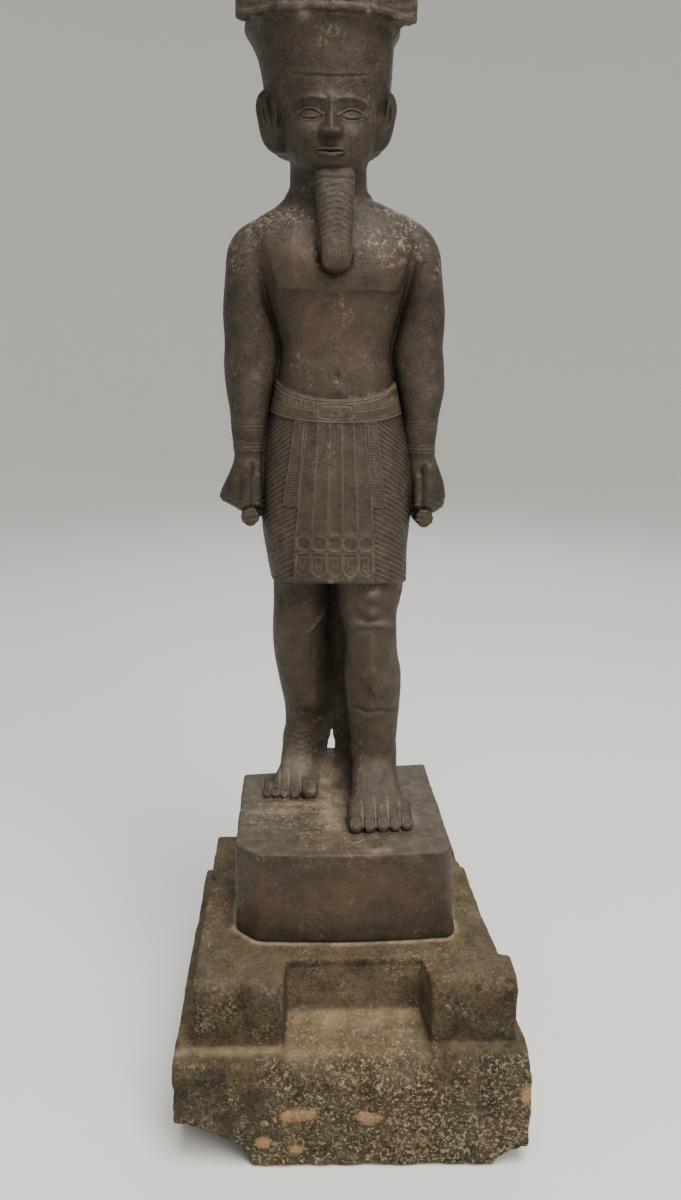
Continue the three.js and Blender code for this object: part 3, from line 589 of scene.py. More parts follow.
# How far the face stands out from the plain head
def faceHeight(x, z):
    v = faceValues
    side = np.abs(x - v["middle"])
    brow, eye, noseBase, mouth, chin = (v[k] for k in ("brow", "eye", "noseBase", "mouth", "chin"))
    # Brow and eye
    browLine = brow + 1.9 * np.sin(np.pi * np.clip((side - 2) / 24, 0, 1)) - 0.05 * side
    ridge = 1.7 * bump(z - browLine, 1.5) * window(side, 2, 6, 20, 26)
    socket = -4.1 * bump(side - v["eyeOut"] + 0.8, 9.6) * bump(z - eye - 0.6, 5.4)
    u = (side - v["eyeOut"]) / v["eyeHalf"]
    middleLine = eye + 0.5 * u
    rise = np.where(z > middleLine, v["upperLid"], v["lowerLid"])
    arch = np.clip(1 - u ** 2, 0, 1)
    away = (np.abs(z - middleLine) - rise * arch) / np.sqrt(1 + (2 * u * rise / v["eyeHalf"]) ** 2)
    away = np.where(
        np.abs(u) > 1, np.hypot((np.abs(u) - 1) * v["eyeHalf"], np.maximum(away, 0)), away,
    )
    ball = (
        0.3 + 1.9 * np.clip(1 - (0.85 * u) ** 2, 0, 1) * np.clip(1 - ((z - eye) / 4.4) ** 2, 0, 1)
    )
    opened = 1 - smoothStep(away, -0.55, 0.25)
    lid = np.where(z > middleLine, 1.8, 1.0) * bump(away - 0.9, 1.0)
    fold = 0.45 * bump(away - 3.1, 0.9) * (z > middleLine)
    eyes = ball * opened + lid + fold
    # Nose
    down = np.clip((brow + 1 - z) / (brow - noseBase - 2), 0, 1)
    halfNose = 3.0 + 1.6 * down ** 1.5
    tipEnd = smoothStep(z, noseBase - 1.6, noseBase + 1.8)
    nose = (
        (2.0 + 6.6 * down ** 1.35) * bump(side, halfNose) * tipEnd
        * (1 - smoothStep(z, brow - 1, brow + 6))
    )
    wings = (
        3.8 * bump(side - 4.5, 1.9) * bump(z - noseBase - 2.2, 2.1)
        * smoothStep(z, noseBase - 1.6, noseBase + 0.6)
    )
    flank = 1.3 * bump(side, 6.5) * bump(z - noseBase - 5, 7)
    # Mouth and chin
    muzzle = 1.7 * bump(side, 11) * bump(z - mouth - 0.5, 8)
    philtrum = -0.5 * bump(side, 1.2) * bump(z - mouth - 4.6, 1.7)
    share = np.clip(1 - (side / v["mouthHalf"]) ** 2, 0, 1)
    line = mouth + 0.9 * (side / v["mouthHalf"]) ** 2 - 0.25 * bump(side, 2.2)
    upperThick = 3.3 * share ** 0.8 - 0.45 * bump(side, 1.5) + 0.01
    lowerThick = 3.9 * share ** 0.9 + 0.01
    upper = (
        2.3 * share ** 0.5 * smoothStep(z - line, -0.4, 0.5)
        * (1 - smoothStep((z - line) / upperThick, 0.55, 1.25))
    )
    lowerShare = (line - z) / lowerThick
    lower = (
        2.8 * share ** 0.6 * smoothStep(line - z, -0.3, 0.9)
        * (1 - smoothStep(lowerShare, 0.5, 1.2))
    )
    parting = -0.9 * bump(z - line, 0.75) * smoothStep(share, 0, 0.3)
    corner = -0.6 * bump(side - v["mouthHalf"] - 0.6, 1.7) * bump(z - mouth - 1.0, 1.7)
    cheek = 2.0 * bump(side - 17.0, 8.0) * bump(z - 620.5, 8.0)
    chinForm = (
        2.4 * bump(side, 8) * bump(z - chin - 3.2, 3.9)
        - 0.6 * bump(side, 7) * bump(z - mouth + 5.4, 1.6)
    )
    total = (
        ridge + socket + eyes + nose + wings + flank + muzzle + philtrum
        + upper + lower + parting + corner + cheek + chinForm
    )
    return total * (1 - smoothStep(side, 25, 31)) * window(z, chin - 3, chin + 1, 646, 651)


def headForms(v):
    smooth = smoothRows(headRows)
    low, high = [-54, -2, 599], [21, 85, 657]

    def skull(p):
        out = faceHeight(p[:, 0], p[:, 2]) * (1 - smoothStep(p[:, 1], 24, 36))
        side = sectionField(smooth, v["headPower"], p[:, 0], p[:, 1] + out, p[:, 2])
        return softMax(side, np.maximum(low[2] - p[:, 2], p[:, 2] - high[2]), 2.0)
    forms = [aForm(low, high, 2.0, skull)]
    for way, lift in ((-1, 0.0), (1, v["earLift"])):
        def beside(out, y, z):
            return [v["earMiddle"] + way * out, y, z]
        rows = []
        for at, out, root, front, back in earRows:
            sides = sorted((v["earMiddle"] + way * out, v["earMiddle"] + way * root))
            rows.append([at + lift, *sides, front, back])
        body = standing(rows, v["limbPower"], 1.6, 1.5)
        hollow = ellipsoid(beside(37.4, 32.2, 637.5 + lift), [4.6, 5.6, 12.6])["field"]
        ridge = [beside(36.0, 37.4, 629 + lift), beside(38.6, 36.4, 645 + lift)]
        crownTab = [beside(31.0, 36, 655), beside(29.4, 38, 624)]
        forms += [
            cutBy(body, hollow, 1.0), rod(*ridge, 1.5, 1.2, 1.0),
            ellipsoid(beside(31.6, 34.5, 633 + lift), [1.8, 3.4, 4.4], 1.6),
            rod(*crownTab, 4.6, 3.4, 3.0),
        ]
    return forms


def crownForm(v):
    body = standing(crownRows, v["crownPower"], 2.5, 1.5)
    depth, height, steepness = np.array(crownEdge, float).T

    def below(p):
        edge = np.interp(p[:, 1], depth, v["crownRim"] + height)
        steep = np.interp(p[:, 1], depth, steepness)
        return (p[:, 2] - edge) / np.hypot(1, steep)
    form = cutBy(body, below, 0.5)
    form["blend"] = 0.8
    return form


def plumeForm(v):
    left, right, front, bow, back = (v[k] for k in ("left", "right", "front", "bow", "back"))
    middle, half = middleAndHalf(left, right)
    lean = np.array([back - front - bow, 0.4 * half])
    lean = lean / np.linalg.norm(lean)

    def frontSide(p):
        u = (p[:, 0] - middle) / half
        return (front + bow * u ** 2 - p[:, 1]) / np.hypot(1, 2 * bow * u / half)

    def slantSide(p):
        return (np.abs(p[:, 0] - middle) - half - 0.6) * lean[0] + (p[:, 1] - front - bow) * lean[1]

    def topSide(p):
        u = np.clip(np.abs(np.abs(p[:, 0] - middle) - half / 2) / (half / 2), 0, 0.995)
        edge = v["top"] - v["shoulder"] + v["shoulder"] * (1 - u ** 2.4) ** (1 / 2.4)
        steep = np.clip(v["shoulder"] / (half / 2) * u ** 1.4 / (1 - u ** 2.4) ** 0.58, 0, 6)
        return (p[:, 2] - edge) / np.hypot(1, steep)

    def footSide(p):
        ragged = 1.1 * unevenness(p, 10, 51) + 0.8 * unevenness(p, 4, 52)
        return v["foot"] + 1.2 + ragged - p[:, 2]
    sides = [
        frontSide, slantSide, topSide,
        lambda p: np.abs(p[:, 0] - middle) - half,
        lambda p: p[:, 1] - back,
        footSide,
    ]
    return block([left, front, v["foot"]], [right, back, v["top"]], sides, 1.6, 4.0)


def footingForm(v):
    middle, half = middleAndHalf(v["left"], v["right"])

    def rightEdge(z):
        return np.interp(
            z, [v["bottom"], v["bottom"] + 12, v["top"]],
            [v["rightFoot"], v["right"] + 3, v["right"]],
        )

    def frontEdge(x):
        return v["front"] - v["bow"] * (1 - ((x - middle) / half) ** 2) + 1
    c = v["corner"]
    sides = [
        lambda p: v["left"] - p[:, 0],
        lambda p: p[:, 0] - rightEdge(p[:, 2]),
        lambda p: frontEdge(p[:, 0]) - p[:, 1],
        lambda p: p[:, 1] - v["back"] - v["skew"] * (p[:, 0] - middle) / half,
        lambda p: p[:, 2] - v["top"],
        lambda p: v["bottom"] - p[:, 2],
        lambda p: ((v["left"] + c - p[:, 0]) + (v["front"] - 1 - p[:, 1])) / math.sqrt(2),
    ]
    body = block(
        [v["left"], v["front"] - v["bow"], v["bottom"]],
        [v["rightFoot"], v["back"] + v["skew"], v["top"]], sides, 2.0, 1.5,
    )

    def rightCorner(p):
        q = np.stack([p[:, 0] - (rightEdge(p[:, 2]) - c), (v["front"] + c - 2) - p[:, 1]], 1)
        return np.where((q > 0).all(axis=1), np.hypot(q[:, 0], q[:, 1]) - c, -c)
    whole = body["field"]

    def field(p):
        wander = 0.6 * unevenness(p, 19, 61) + 0.4 * unevenness(p, 7, 62)
        q = p.copy()
        q[:, :2] *= (1.002 + 0.006 * wander)[:, None]
        return np.maximum(whole(q), rightCorner(q))
    body["field"] = field
    return body


# Each toe: its number, middle, half width and tip, and where the next one starts
def eachToe(toes):
    width, start = toes["outer"] - toes["inner"], toes["inner"]
    for i, share in enumerate(toes["shares"]):
        middle, half = start + width * share / 2, abs(width * share) / 2
        start += width * share
        yield i, middle, half, toes["tip"] + i * 0.9, start


def footForms(rows, toes, v):
    forms, ground = [lying(rows, v["footPower"], 4.0, 4.0)], v["footing"]["top"]
    for _, middle, half, tip, _ in eachToe(toes):
        front = [middle, tip + half, ground + half * 0.75]
        back = [middle, toes["root"] + 8, ground + 2 + half * 1.5]
        forms.append(rod(front, back, half * 0.96, half * 1.02, 2.2))
    return forms


# The stone between the legs, with the hole pierced through it above the feet
def legWebForm(v):
    low, high = v["low"], v["high"]
    foot, top = v["holeHeights"][0], v["holeHeights"][-1]

    def hole(p):
        half = np.interp(p[:, 2], v["holeHeights"], v["holeHalves"])
        middle = np.interp(p[:, 2], [foot, top], v["holeMiddles"])
        return np.maximum(
            np.abs(p[:, 0] - middle) - half, np.maximum(foot - p[:, 2], p[:, 2] - top),
        )

    def frontSide(p):
        slant = v["slant"] * smoothStep(-p[:, 0], 5, 24) * smoothStep(p[:, 2], 226, 250)
        return v["front"] - slant - 5 * smoothStep(-p[:, 2], -200, -182) - p[:, 1]
    sides = [frontSide] + flatSides(low, high)[1:]
    return cutBy(block(low, high, sides, 1.0, 4.5), hole, 0.8)


# A fist closed round a short rod, with the thumb down its front
def armForms(rows, handRows, way, v):
    inside = handRows[0][2] if way < 0 else handRows[0][1]
    forms = [standing(rows, v["limbPower"], 3.0, 3.0), standing(handRows, v["handPower"], 1.5, 1.2)]
    for (startIn, *start), (endIn, *end), *thick in v["fingers"]:
        forms.append(rod([inside + way * startIn, *start], [inside + way * endIn, *end], *thick))
    front, back, height, radius = (v["rod"][k] for k in ("front", "back", "height", "radius"))
    middle = inside + way * v["rod"]["inset"]

    def stub(p):
        barrel = np.hypot(p[:, 0] - middle, p[:, 2] - height) - radius
        return softMax(barrel, np.maximum(front - p[:, 1], p[:, 1] - back), 1.6)
    low, high = [middle - radius, front, height - radius], [middle + radius, back, height + radius]
    forms.append(aForm(low, high, 0.8, stub))
    return forms


# The kilt: its hem rises a little in front, and its top follows the belt
def kiltForm(v, c):
    smooth, leg = smoothRows(kiltRows), smoothRows(frontLegRows)
    form = standing(kiltRows, v["kiltPower"], 1.0, 1.2)

    def field(p):
        side = sectionField(smooth, v["kiltPower"], *p.T)
        draped = sectionField(leg, v["limbPower"], *p.T) - 1.2 + 10 * smoothStep(p[:, 2], 350, 395)
        side = softMin(side, draped, 7.0)
        share, _ = aroundKilt(p)
        _, top = beltEdges(share, c["belt"])
        hem = kiltRows[0][0] + c["hemRise"] * np.maximum(share, 0) ** 2
        return softMax(side, np.maximum(hem - p[:, 2], p[:, 2] - top), 1.2)
    return {**form, "field": field}


def statueForms(v):
    forms = [
        standing(torsoRows, v["torsoPower"], 3.0, 3.0),
        standing(neckRows, v["limbPower"], 9.0, 2.0),
        block(*v["armWeb"], flatSides(*v["armWeb"]), 2.0, 3.0),
    ]
    forms += armForms(rightArmRows, rightHandRows, -1, v)
    forms += armForms(leftArmRows, leftHandRows, 1, v)
    forms.append(kiltForm(v, carvingValues))
    forms += [
        standing(rearLegRows, v["limbPower"], 1.0, 2.0),
        standing(frontLegRows, v["limbPower"], 1.0, 2.0),
        legWebForm(v["legWeb"]),
    ]
    forms += [ellipsoid(*lump) for lump in v["kneeLumps"]]
    forms += footForms(frontFootRows, v["frontToes"], v)
    forms += footForms(rearFootRows, v["rearToes"], v)
    forms += [ellipsoid(*lump) for lump in v["ankleLumps"]]
    forms.append(footingForm(v["footing"]))
    forms += headForms(v)
    forms.append(standing(beardRows, v["beardPower"], 1.2, 2.5))
    forms.append(crownForm(v))
    forms.append(plumeForm(v["plume"]))
    return forms


carvingValues = {
    "kiltMiddle": -10.5, "hemRise": 3.5,
    "belt": {
        "low": 457.0, "high": 477.0, "lowDip": 7.0, "highDip": 13.0, "raise": 1.3, "plaque": 11.0,
    },
    "apron": {"low": 379.0, "high": 450.0, "halfTop": 19.0, "halfLow": 25.0, "panels": 5},
    "ribbon": {
        "low": 396.0, "high": 450.0, "inTop": 19.8, "outTop": 26.6, "inLow": 23.5, "outLow": 34.0,
        "raise": 0.9,
    },
    "blocks": {"low": 368.0, "high": 377.0, "half": 25.5, "count": 5},
    "drops": {"low": 351.0, "high": 366.0, "half": 26.0, "count": 5},
    "pleat": {"pitch": 3.8, "depth": 0.6, "slopeLow": 0.46, "slopeHigh": 0.66},
    "bracelet": {"low": 430.0, "high": 451.0, "raise": 0.25},
    "pectoral": {"low": 531.0, "half": 37.0, "raise": 2.5},
    "navel": {"height": 480.0, "half": 2.3, "rise": 4.2, "deep": 2.2},
    "beardPitch": 3.3,
    "bodyMiddle": -10.0,
    "fist": {"low": 388.5, "gaps": (33.5, 40.5, 47.5), "rightThumb": -64.4, "leftThumb": 47.0},
    "knee": {"middle": 15.0, "high": 337.0, "low": 326.0, "ring": 332.0, "band": 317.6},
    "shin": {"middle": 15.6, "fork": 311.5},
    # The worked arc on the front shin, and the crease across it
    "arc": {"middle": 3.0, "height": 257.0, "half": 15.5, "rise": 21.0, "crease": 252.5},
    # The rear leg: tendon's start and run, shin's edge, calf's middle, the ankle's folds
    "rearLeg": {
        "tendon": [(-13.2, 321.9), (-12.1, -15.8)], "edge": -25.6, "calf": (-38.0, 275.0),
        "folds": -31.5, "foldPitch": 4.2,
    },
}


# How far a point on the kilt faces the front, and the way round to it from the front's middle
def aroundKilt(p):
    middleX, halfX, middleY, halfY = sectionAt(smoothRows(kiltRows), p[:, 2])
    power = figureValues["kiltPower"]
    c = signedPower((p[:, 0] - middleX) / halfX, power / 2)
    s = signedPower((p[:, 1] - middleY) / halfY, power / 2)
    turn = np.abs(np.arctan2(c, -s))
    table = np.linspace(0, np.pi, 200)
    reachX, reachY = 50, 40
    path = np.stack(
        [
            reachX * signedPower(np.sin(table), 2 / power),
            -reachY * signedPower(np.cos(table), 2 / power),
        ],
        1,
    )
    length = np.concatenate([[0], np.cumsum(np.linalg.norm(np.diff(path, axis=0), axis=1))])
    return np.clip(-s / np.maximum(np.hypot(c, s), 1e-3), -1, 1), np.interp(turn, table, length)


def roundedCell(x, z, halfX, halfZ, corner):
    qx, qz = np.abs(x) - halfX + corner, np.abs(z) - halfZ + corner
    return (
        np.hypot(np.maximum(qx, 0), np.maximum(qz, 0)) + np.minimum(np.maximum(qx, qz), 0) - corner
    )


# A drop: a cell with a square head and a round foot
def dropCell(x, z, halfX, halfZ):
    head = roundedCell(x, z - halfX / 2, halfX, halfZ - halfX / 2, 0.8)
    foot = np.hypot(x, z + halfZ - halfX) - halfX
    return np.minimum(head, foot)


def beltEdges(share, v):
    dip = np.maximum(share, 0) ** 1.5
    return v["low"] - v["lowDip"] * dip, v["high"] - v["highDip"] * dip


# How far from the middle line a ribbon's two edges are
def ribbonEdges(z, v):
    t = (z - v["low"]) / (v["high"] - v["low"])
    return [v[side + "Low"] + (v[side + "Top"] - v[side + "Low"]) * t for side in ("in", "out")]


def pleatCarving(p, z, around, share, hem, v):
    slope = np.interp(z, [343, 455], [v["slopeLow"], v["slopeHigh"]])
    f = np.mod((z + slope * around + 0.5 * unevenness(p, 14, 71)) / v["pitch"], 1.0)
    deep = v["depth"] * np.interp(share, [0.0, 0.3], [0.45, 1.0])
    deep = deep * smoothStep(z, hem + 1.6, hem + 3.2)
    line = bump(np.minimum(f, 1 - f) * v["pitch"], 0.45) * smoothStep(z, hem + 1.2, hem + 2.2)
    return -deep * arched(f), line


# The apron's upright panels, rounded between thin ridges
def panelCarving(x, halfApron, panels):
    f = np.mod((x / halfApron + 1) / 2 * panels, 1.0)
    fromRidge = np.minimum(f, 1 - f) * 2 * halfApron / panels
    height = 0.6 - 0.45 * arched(f) + 0.25 * bump(fromRidge, 0.5)
    beyond = np.abs(x) > halfApron
    return np.where(beyond, 0.6, height), np.where(beyond, 0, 0.55 * bump(fromRidge, 0.4))


# The row of cells under the apron, and the row of drops under that
def cellCarving(p, x, z, values):
    height, line = np.full(len(p), 0.6), np.zeros(len(p))
    uneven = 0.5 * unevenness(p, 5, 72)
    for row, isDrop in ((values["blocks"], False), (values["drops"], True)):
        width = 2 * row["half"] / row["count"]
        local = np.mod(x + row["half"] + uneven, width) - width / 2
        middle, halfZ = middleAndHalf(row["low"], row["high"])
        if isDrop:
            away = dropCell(local, z - middle - uneven, width / 2 - 0.9, halfZ)
            top = bump(z - row["high"] + 3.0, 0.4) * (away < -0.6)
            inside = 0.3 * bump(away + 2.3, 0.5) + 0.3 * top
        else:
            away = roundedCell(local, z - middle - uneven, width / 2 - 0.8, halfZ, 3.4)
            inside = 0.0
        inRow = (np.abs(x) < row["half"]) & (z > row["low"] - 1) & (z < row["high"] + 1)
        cell = 0.6 + 0.2 * bump(away - 0.2, 0.5) - 0.7 * smoothStep(-away, 0.0, 1.1) + inside
        rim = np.maximum(0.7 * bump(away - 0.1, 0.5), np.clip(inside * 1.5, 0, 0.4))
        height, line = np.where(inRow, cell, height), np.where(inRow, rim, line)
    return height, line


# Heights and pale lines of the kilt: belt, ribbons, apron panels, cells and drops, and pleats
def kiltCarving(p, values):
    x, z = p[:, 0] - values["kiltMiddle"], p[:, 2]
    share, around = aroundKilt(p)
    facing = share > 0.15
    low, high = beltEdges(share, values["belt"])
    onBelt = smoothStep(z, low - 0.4, low + 0.4)

    a, r = values["apron"], values["ribbon"]
    t = np.clip((z - a["low"]) / (a["high"] - a["low"]), -0.4, 1)
    halfApron = a["halfLow"] + (a["halfTop"] - a["halfLow"]) * t
    halfApron = np.where(z < a["low"], a["halfLow"] + 0.5, halfApron)
    inner, outer = ribbonEdges(z, r)
    onRibbon = facing * smoothStep(z, r["low"] - 0.3, r["low"] + 0.3)
    onRibbon = onRibbon * smoothStep(np.abs(x), inner - 0.3, inner + 0.3)
    onRibbon = onRibbon * (1 - smoothStep(np.abs(x), outer - 0.3, outer + 0.3))
    bound = np.where(z > r["low"], outer, halfApron + 1.0)
    onApron = facing * (1 - smoothStep(np.abs(x), bound - 0.3, bound + 0.3))

    hem = kiltRows[0][0] + values["hemRise"] * np.maximum(share, 0) ** 2
    pleats, pleatLine = pleatCarving(p, z, around, share, hem, values["pleat"])
    panels, panelLine = panelCarving(x, halfApron, a["panels"])
    cells, cellLine = cellCarving(p, x, z, values)
    fromEdge = np.minimum(np.abs(np.abs(x) - inner - 0.6), np.abs(outer - 0.6 - np.abs(x)))
    ribbonEdge = bump(fromEdge, 0.45)
    ribbon = r["raise"] + 0.3 * ribbonEdge

    onPanels = z > a["low"]
    front = np.where(onPanels, panels, cells)
    line = np.where(onPanels, panelLine, cellLine)
    beside = bump(np.abs(x) - halfApron - 0.6, 0.55) * (z < r["low"] + 1) * (z > hem)
    hemBand = smoothStep(z, hem + 2.2, hem + 3.2)
    front = front * hemBand + 0.7 * (1 - hemBand)
    hemLine = 0.6 * bump(z - hem - 2.8, 0.5)
    front = (front + 0.4 * beside) * (1 - onRibbon) + ribbon * onRibbon
    height = pleats * (1 - onApron) + front * onApron
    height = height * (1 - onBelt) + values["belt"]["raise"] * onBelt
    line = np.maximum(np.maximum(line * hemBand, 0.6 * beside), hemLine)
    line = line * (1 - onRibbon) + 0.55 * ribbonEdge * onRibbon
    line = (0.6 * pleatLine * (1 - onApron) + line * onApron) * (1 - onBelt)
    line = np.maximum(line, 0.6 * bump(z - low, 0.5))
    on = z < high + 0.5
    return height * on, line * on


def torsoCarving(p, normal, values):
    x, z = p[:, 0] - values["bodyMiddle"], p[:, 2]
    front = faces(normal, 0.1, 0.6)
    v = values["pectoral"]
    width = v["half"] + np.maximum(z - v["low"], 0) * 0.35
    low = v["low"] + 1.6 * np.clip(np.abs(x) / v["half"], 0, 1.3) ** 2 - 1.2 * bump(x, 9)
    chest = window(z, low - 0.9, low + 1.1, v["low"] + 8, 574)
    chest = (
        chest * v["raise"] * (0.75 + 0.5 * smoothStep(np.abs(x), 8, 20))
        * (0.85 + 0.3 * unevenness(p, 14, 91))
    )
    chest = chest * (1 - smoothStep(np.abs(x), width - 2.5, width + 2.5))
    swell = 1.2 * bump(np.abs(x) - 21, 15) * bump(z - 547, 13)
    seam = -0.45 * bump(x, 4.5) * window(z, 487, 498, 556, 572)
    belly = 0.8 * bump(x, 22) * bump(z - 486, 15)
    flank = -0.3 * bump(np.abs(x) - 17, 6) * window(z, 488, 504, 516, 530)
    n = values["navel"]
    hole = np.hypot(x / n["half"], (z - n["height"]) / n["rise"])
    navel = -0.6 * n["deep"] * (1 - smoothStep(hole, 0.2, 1.05)) + 0.25 * bump(hole - 1.3, 0.3)
    line = 0.15 * bump(hole - 1.35, 0.3) * (z < n["height"] + 1)
    line = (
        line + 0.5 * bump(z - low - 1.0, 0.8) * smoothStep(np.abs(x), 10, 18) * (np.abs(x) < width)
    )
    fold = bump(x + 27 + 0.1 * (z - 545), 1.1) * window(z, 532, 538, 560, 569)
    line = line + 0.3 * fold
    return front * (chest + swell + seam + belly + flank + navel + 0.4 * fold), front * line


def cuffCarving(p, values):
    v = values["bracelet"]
    z = p[:, 2]
    cuff = window(z, v["low"] - 0.4, v["low"] + 0.4, v["high"] - 0.4, v["high"] + 0.4)
    return v["raise"] * cuff, np.zeros(len(p))


# Fingers: three grooves round the outer side of each fist, and the thumb's nail
def fistCarving(p, normal, values):
    x, y, z = p.T
    v = values["fist"]
    out = smoothStep(np.abs(x - values["bodyMiddle"]), 60, 66) * window(z, v["low"], 391, 404, 411)
    grooves = np.zeros(len(p))
    for depth in v["gaps"]:
        grooves = np.maximum(grooves, bump(y - depth - 0.15 * (z - 398), 1.1))
    line = (
        0.5 * bump(np.where(x < 0, x - v["rightThumb"], x - v["leftThumb"]), 0.6)
        * faces(normal, 0.3, 0.6) * (z < 415)
    )
    return -0.8 * grooves * out, line * (z > 393)


# Knee, shin and the old worked creases of each leg
def legCarving(p, normal, values):
    x, _, z = p.T
    knee, shinAt, arc, rear = (values[name] for name in ("knee", "shin", "arc", "rearLeg"))
    front = faces(normal, 0.15, 0.6)
    inFront = x > -9
    band = bump(z - knee["band"] - 0.4 * np.sin(x * 0.4), 2.0) * window(x, -3, 3, 31, 34)
    cap = bump(np.hypot((x - knee["middle"]) / 6.6, (z - knee["high"]) / 4.6), 1.0)
    lowCap = bump(np.hypot((x - knee["middle"] - 0.5) / 4.2, (z - knee["low"]) / 3.6), 1.0)
    cap = cap + 0.9 * lowCap
    ring = np.hypot((x - knee["middle"]) / 12.5, (z - knee["ring"]) / 12.0)
    ring = bump(ring - 1.0, 0.2) * (z > 320)
    shin = bump(x - shinAt["middle"], 1.7) * window(z, 288, 296, 311, 315)
    fork = bump(z - shinAt["fork"] - 0.25 * (x - 9), 1.1) * window(x, 4, 8, 14, 17)
    shinLow = bump(x - 16 + 0.03 * (z - 250), 4.0) * window(z, 214, 240, 285, 300)
    arcAway = np.hypot((x - arc["middle"]) / arc["half"], (z - arc["height"]) / arc["rise"])
    oval = (1 - smoothStep(arcAway, 0.9, 1.03)) * smoothStep(z, 250, 258) * (x > -6)
    arcLine = bump(arcAway - 1.0, 0.05) * (z > 256) * (x > -4)
    wander = z - arc["crease"] - 0.7 * np.sin(x * 0.35) - 0.5 * unevenness(p, 6, 93)
    crease = bump(wander, 1.0) * window(x, -2, 3, 34, 38)
    lip = bump(wander + 2.2, 1.2) * window(x, 0, 4, 24, 30)
    lumps = 0.5 * unevenness(p, 11, 94) + 0.3 * unevenness(p, 5, 95)
    one = 0.85 * band + 0.9 * cap - 0.8 * ring + 0.9 * shin + 0.6 * fork + 0.5 * shinLow
    one = one - 0.7 * oval - 1.0 * arcLine - 1.1 * crease + 0.4 * lip + lumps
    oneLine = 0.3 * band + 0.35 * cap + 0.45 * shin + 0.3 * fork + 0.35 * lip
    (startX, startZ), (run, drop) = rear["tendon"]
    fromX, fromZ = x - startX, z - startZ
    along = (fromX * run + fromZ * drop) / (run ** 2 + drop ** 2)
    off = np.abs(fromX * drop - fromZ * run) / math.hypot(run, drop)
    tendon = bump(off, 1.5) * window(along, -0.15, 0.1, 0.9, 1.2)
    edge = (
        smoothStep(x - rear["edge"], -1.6, 1.6) * window(z, 245, 262, 300, 310)
        * bump(x - rear["edge"], 7)
    )
    calf = bump(x - rear["calf"][0], 5) * bump(z - rear["calf"][1], 25)
    f = np.mod((z + 0.9 * np.sin(x * 0.55) + 0.5 * unevenness(p, 7, 96)) / rear["foldPitch"], 1.0)
    folds = bump(f - 0.5, 0.15) * window(z, 206, 209, 225, 230) * bump(x - rear["folds"], 7)
    other = 1.5 * tendon - 1.3 * edge - 0.4 * calf + 0.7 * folds + lumps
    upright = bump(x + 26.0, 0.6) * smoothStep(z, 258, 270) * (z < 306)
    otherLine = 0.8 * bump(off - 0.3, 0.7) * (tendon > 0.1) + 0.5 * upright + 0.8 * folds
    return np.where(inFront, one, other) * front, np.where(inFront, oneLine, otherLine) * front


# Nails on the toes, and pale dust in the grooves between them
def toeCarving(p, normal, v):
    x, y, z = p.T
    height, line = np.zeros(len(p)), np.zeros(len(p))
    for toes in (v["frontToes"], v["rearToes"]):
        for i, middle, half, tip, gap in eachToe(toes):
            nail = roundedCell(x - middle, y - tip - half * 0.75, half * 0.6, half * 0.6, 1.0)
            rim = 0.35 * bump(nail - 0.2, 0.4) - 0.3 * smoothStep(-nail, 0.0, 0.5)
            near = (z < 192) & (z > 181) & (np.abs(x - middle) < half)
            height += rim * near * smoothStep(normal[:, 2], 0.1, 0.5)
            line = np.maximum(line, 0.7 * bump(nail - 0.2, 0.45) * near)
            if i < 4:
                reach = toes["root"] - i + (6 if i else 2)
                long = window(y, tip - 3, tip + 1, reach - 3, reach + 4)
                groove = bump(x - gap, 0.5 + 0.7 * smoothStep(y, tip, reach)) * long
                height -= groove
                line = np.maximum(line, 1.25 * groove)
    return height, line


def beardCarving(p, values):
    x, y, z = p.T
    middle, half, _, _ = sectionAt(smoothRows(beardRows), z)
    across = np.clip((x - middle) / half, -1.2, 1.2)
    f = np.mod((z + 2.4 * np.abs(across) + 1.9 * across ** 2) / values["beardPitch"], 1.0)
    plait = 0.3 * arched(f) - 0.2 * bump(across, 0.09)
    g = np.mod((across + 0.08 * np.sin((z - 540) * 0.35)) * 4.5, 1.0)
    tip = 0.28 * arched(g)
    share = smoothStep(z, 555, 562)
    on = smoothStep(-y, -12, -7) * (1 - smoothStep(z, 592, 594))
    line = 0.45 * bump(f - 0.5, 0.2) * share + 0.35 * bump(g - 0.5, 0.2) * (1 - share)
    strap = bump(z - 594.6, 0.6) * smoothStep(-y, -14, -9)
    return (plait * share + tip * (1 - share)) * on - 0.4 * strap, line * on


def plumeCarving(p, normal, v):
    middle, half = middleAndHalf(v["left"], v["right"])
    x, z = p[:, 0] - middle, p[:, 2]
    front = faces(normal, 0.5, 0.8)
    rib = np.abs(np.abs(x) - half / 2)
    spine = (
        0.9 * (1 - smoothStep(rib, 1.8, 3.2)) * (1 - smoothStep(z, v["top"] - 16, v["top"] - 12))
    )
    seam = -1.1 * (1 - smoothStep(np.abs(x), 0.8, 1.9))
    foot = 0.9 * (1 - smoothStep(z, v["foot"] + 3.6, v["foot"] + 5.4))
    f = np.mod((z - v["foot"] - 0.30 * rib + 0.4 * unevenness(p, 12, 73)) / 5.0, 1.0)
    barbs = 0.4 * arched(f) * smoothStep(rib, 3.0, 4.5) * smoothStep(np.abs(x), 2.0, 3.2)
    barbs *= 1 - smoothStep(rib, half / 2 - 3.4, half / 2 - 2.4)
    edge = 0.5 * smoothStep(rib, half / 2 - 2.6, half / 2 - 1.8) * (np.abs(x) > half / 2)
    body = (barbs + edge) * smoothStep(z, v["foot"] + 4.6, v["foot"] + 6.5)
    rim = 1 - smoothStep(z, v["foot"] + 3.2, v["foot"] + 5.0)
    # The pale line along the slab's lower rim is a painted highlight, where the rim catches light
    # from above
    line = 0.6 * rim * (0.4 + unevenness(p, 5, 75)) + 0.3 * bump(f - 0.5, 0.16) * (barbs > 0.05)
    return front * (np.maximum(spine, body) + seam + foot), np.clip(line, 0, 1) * front


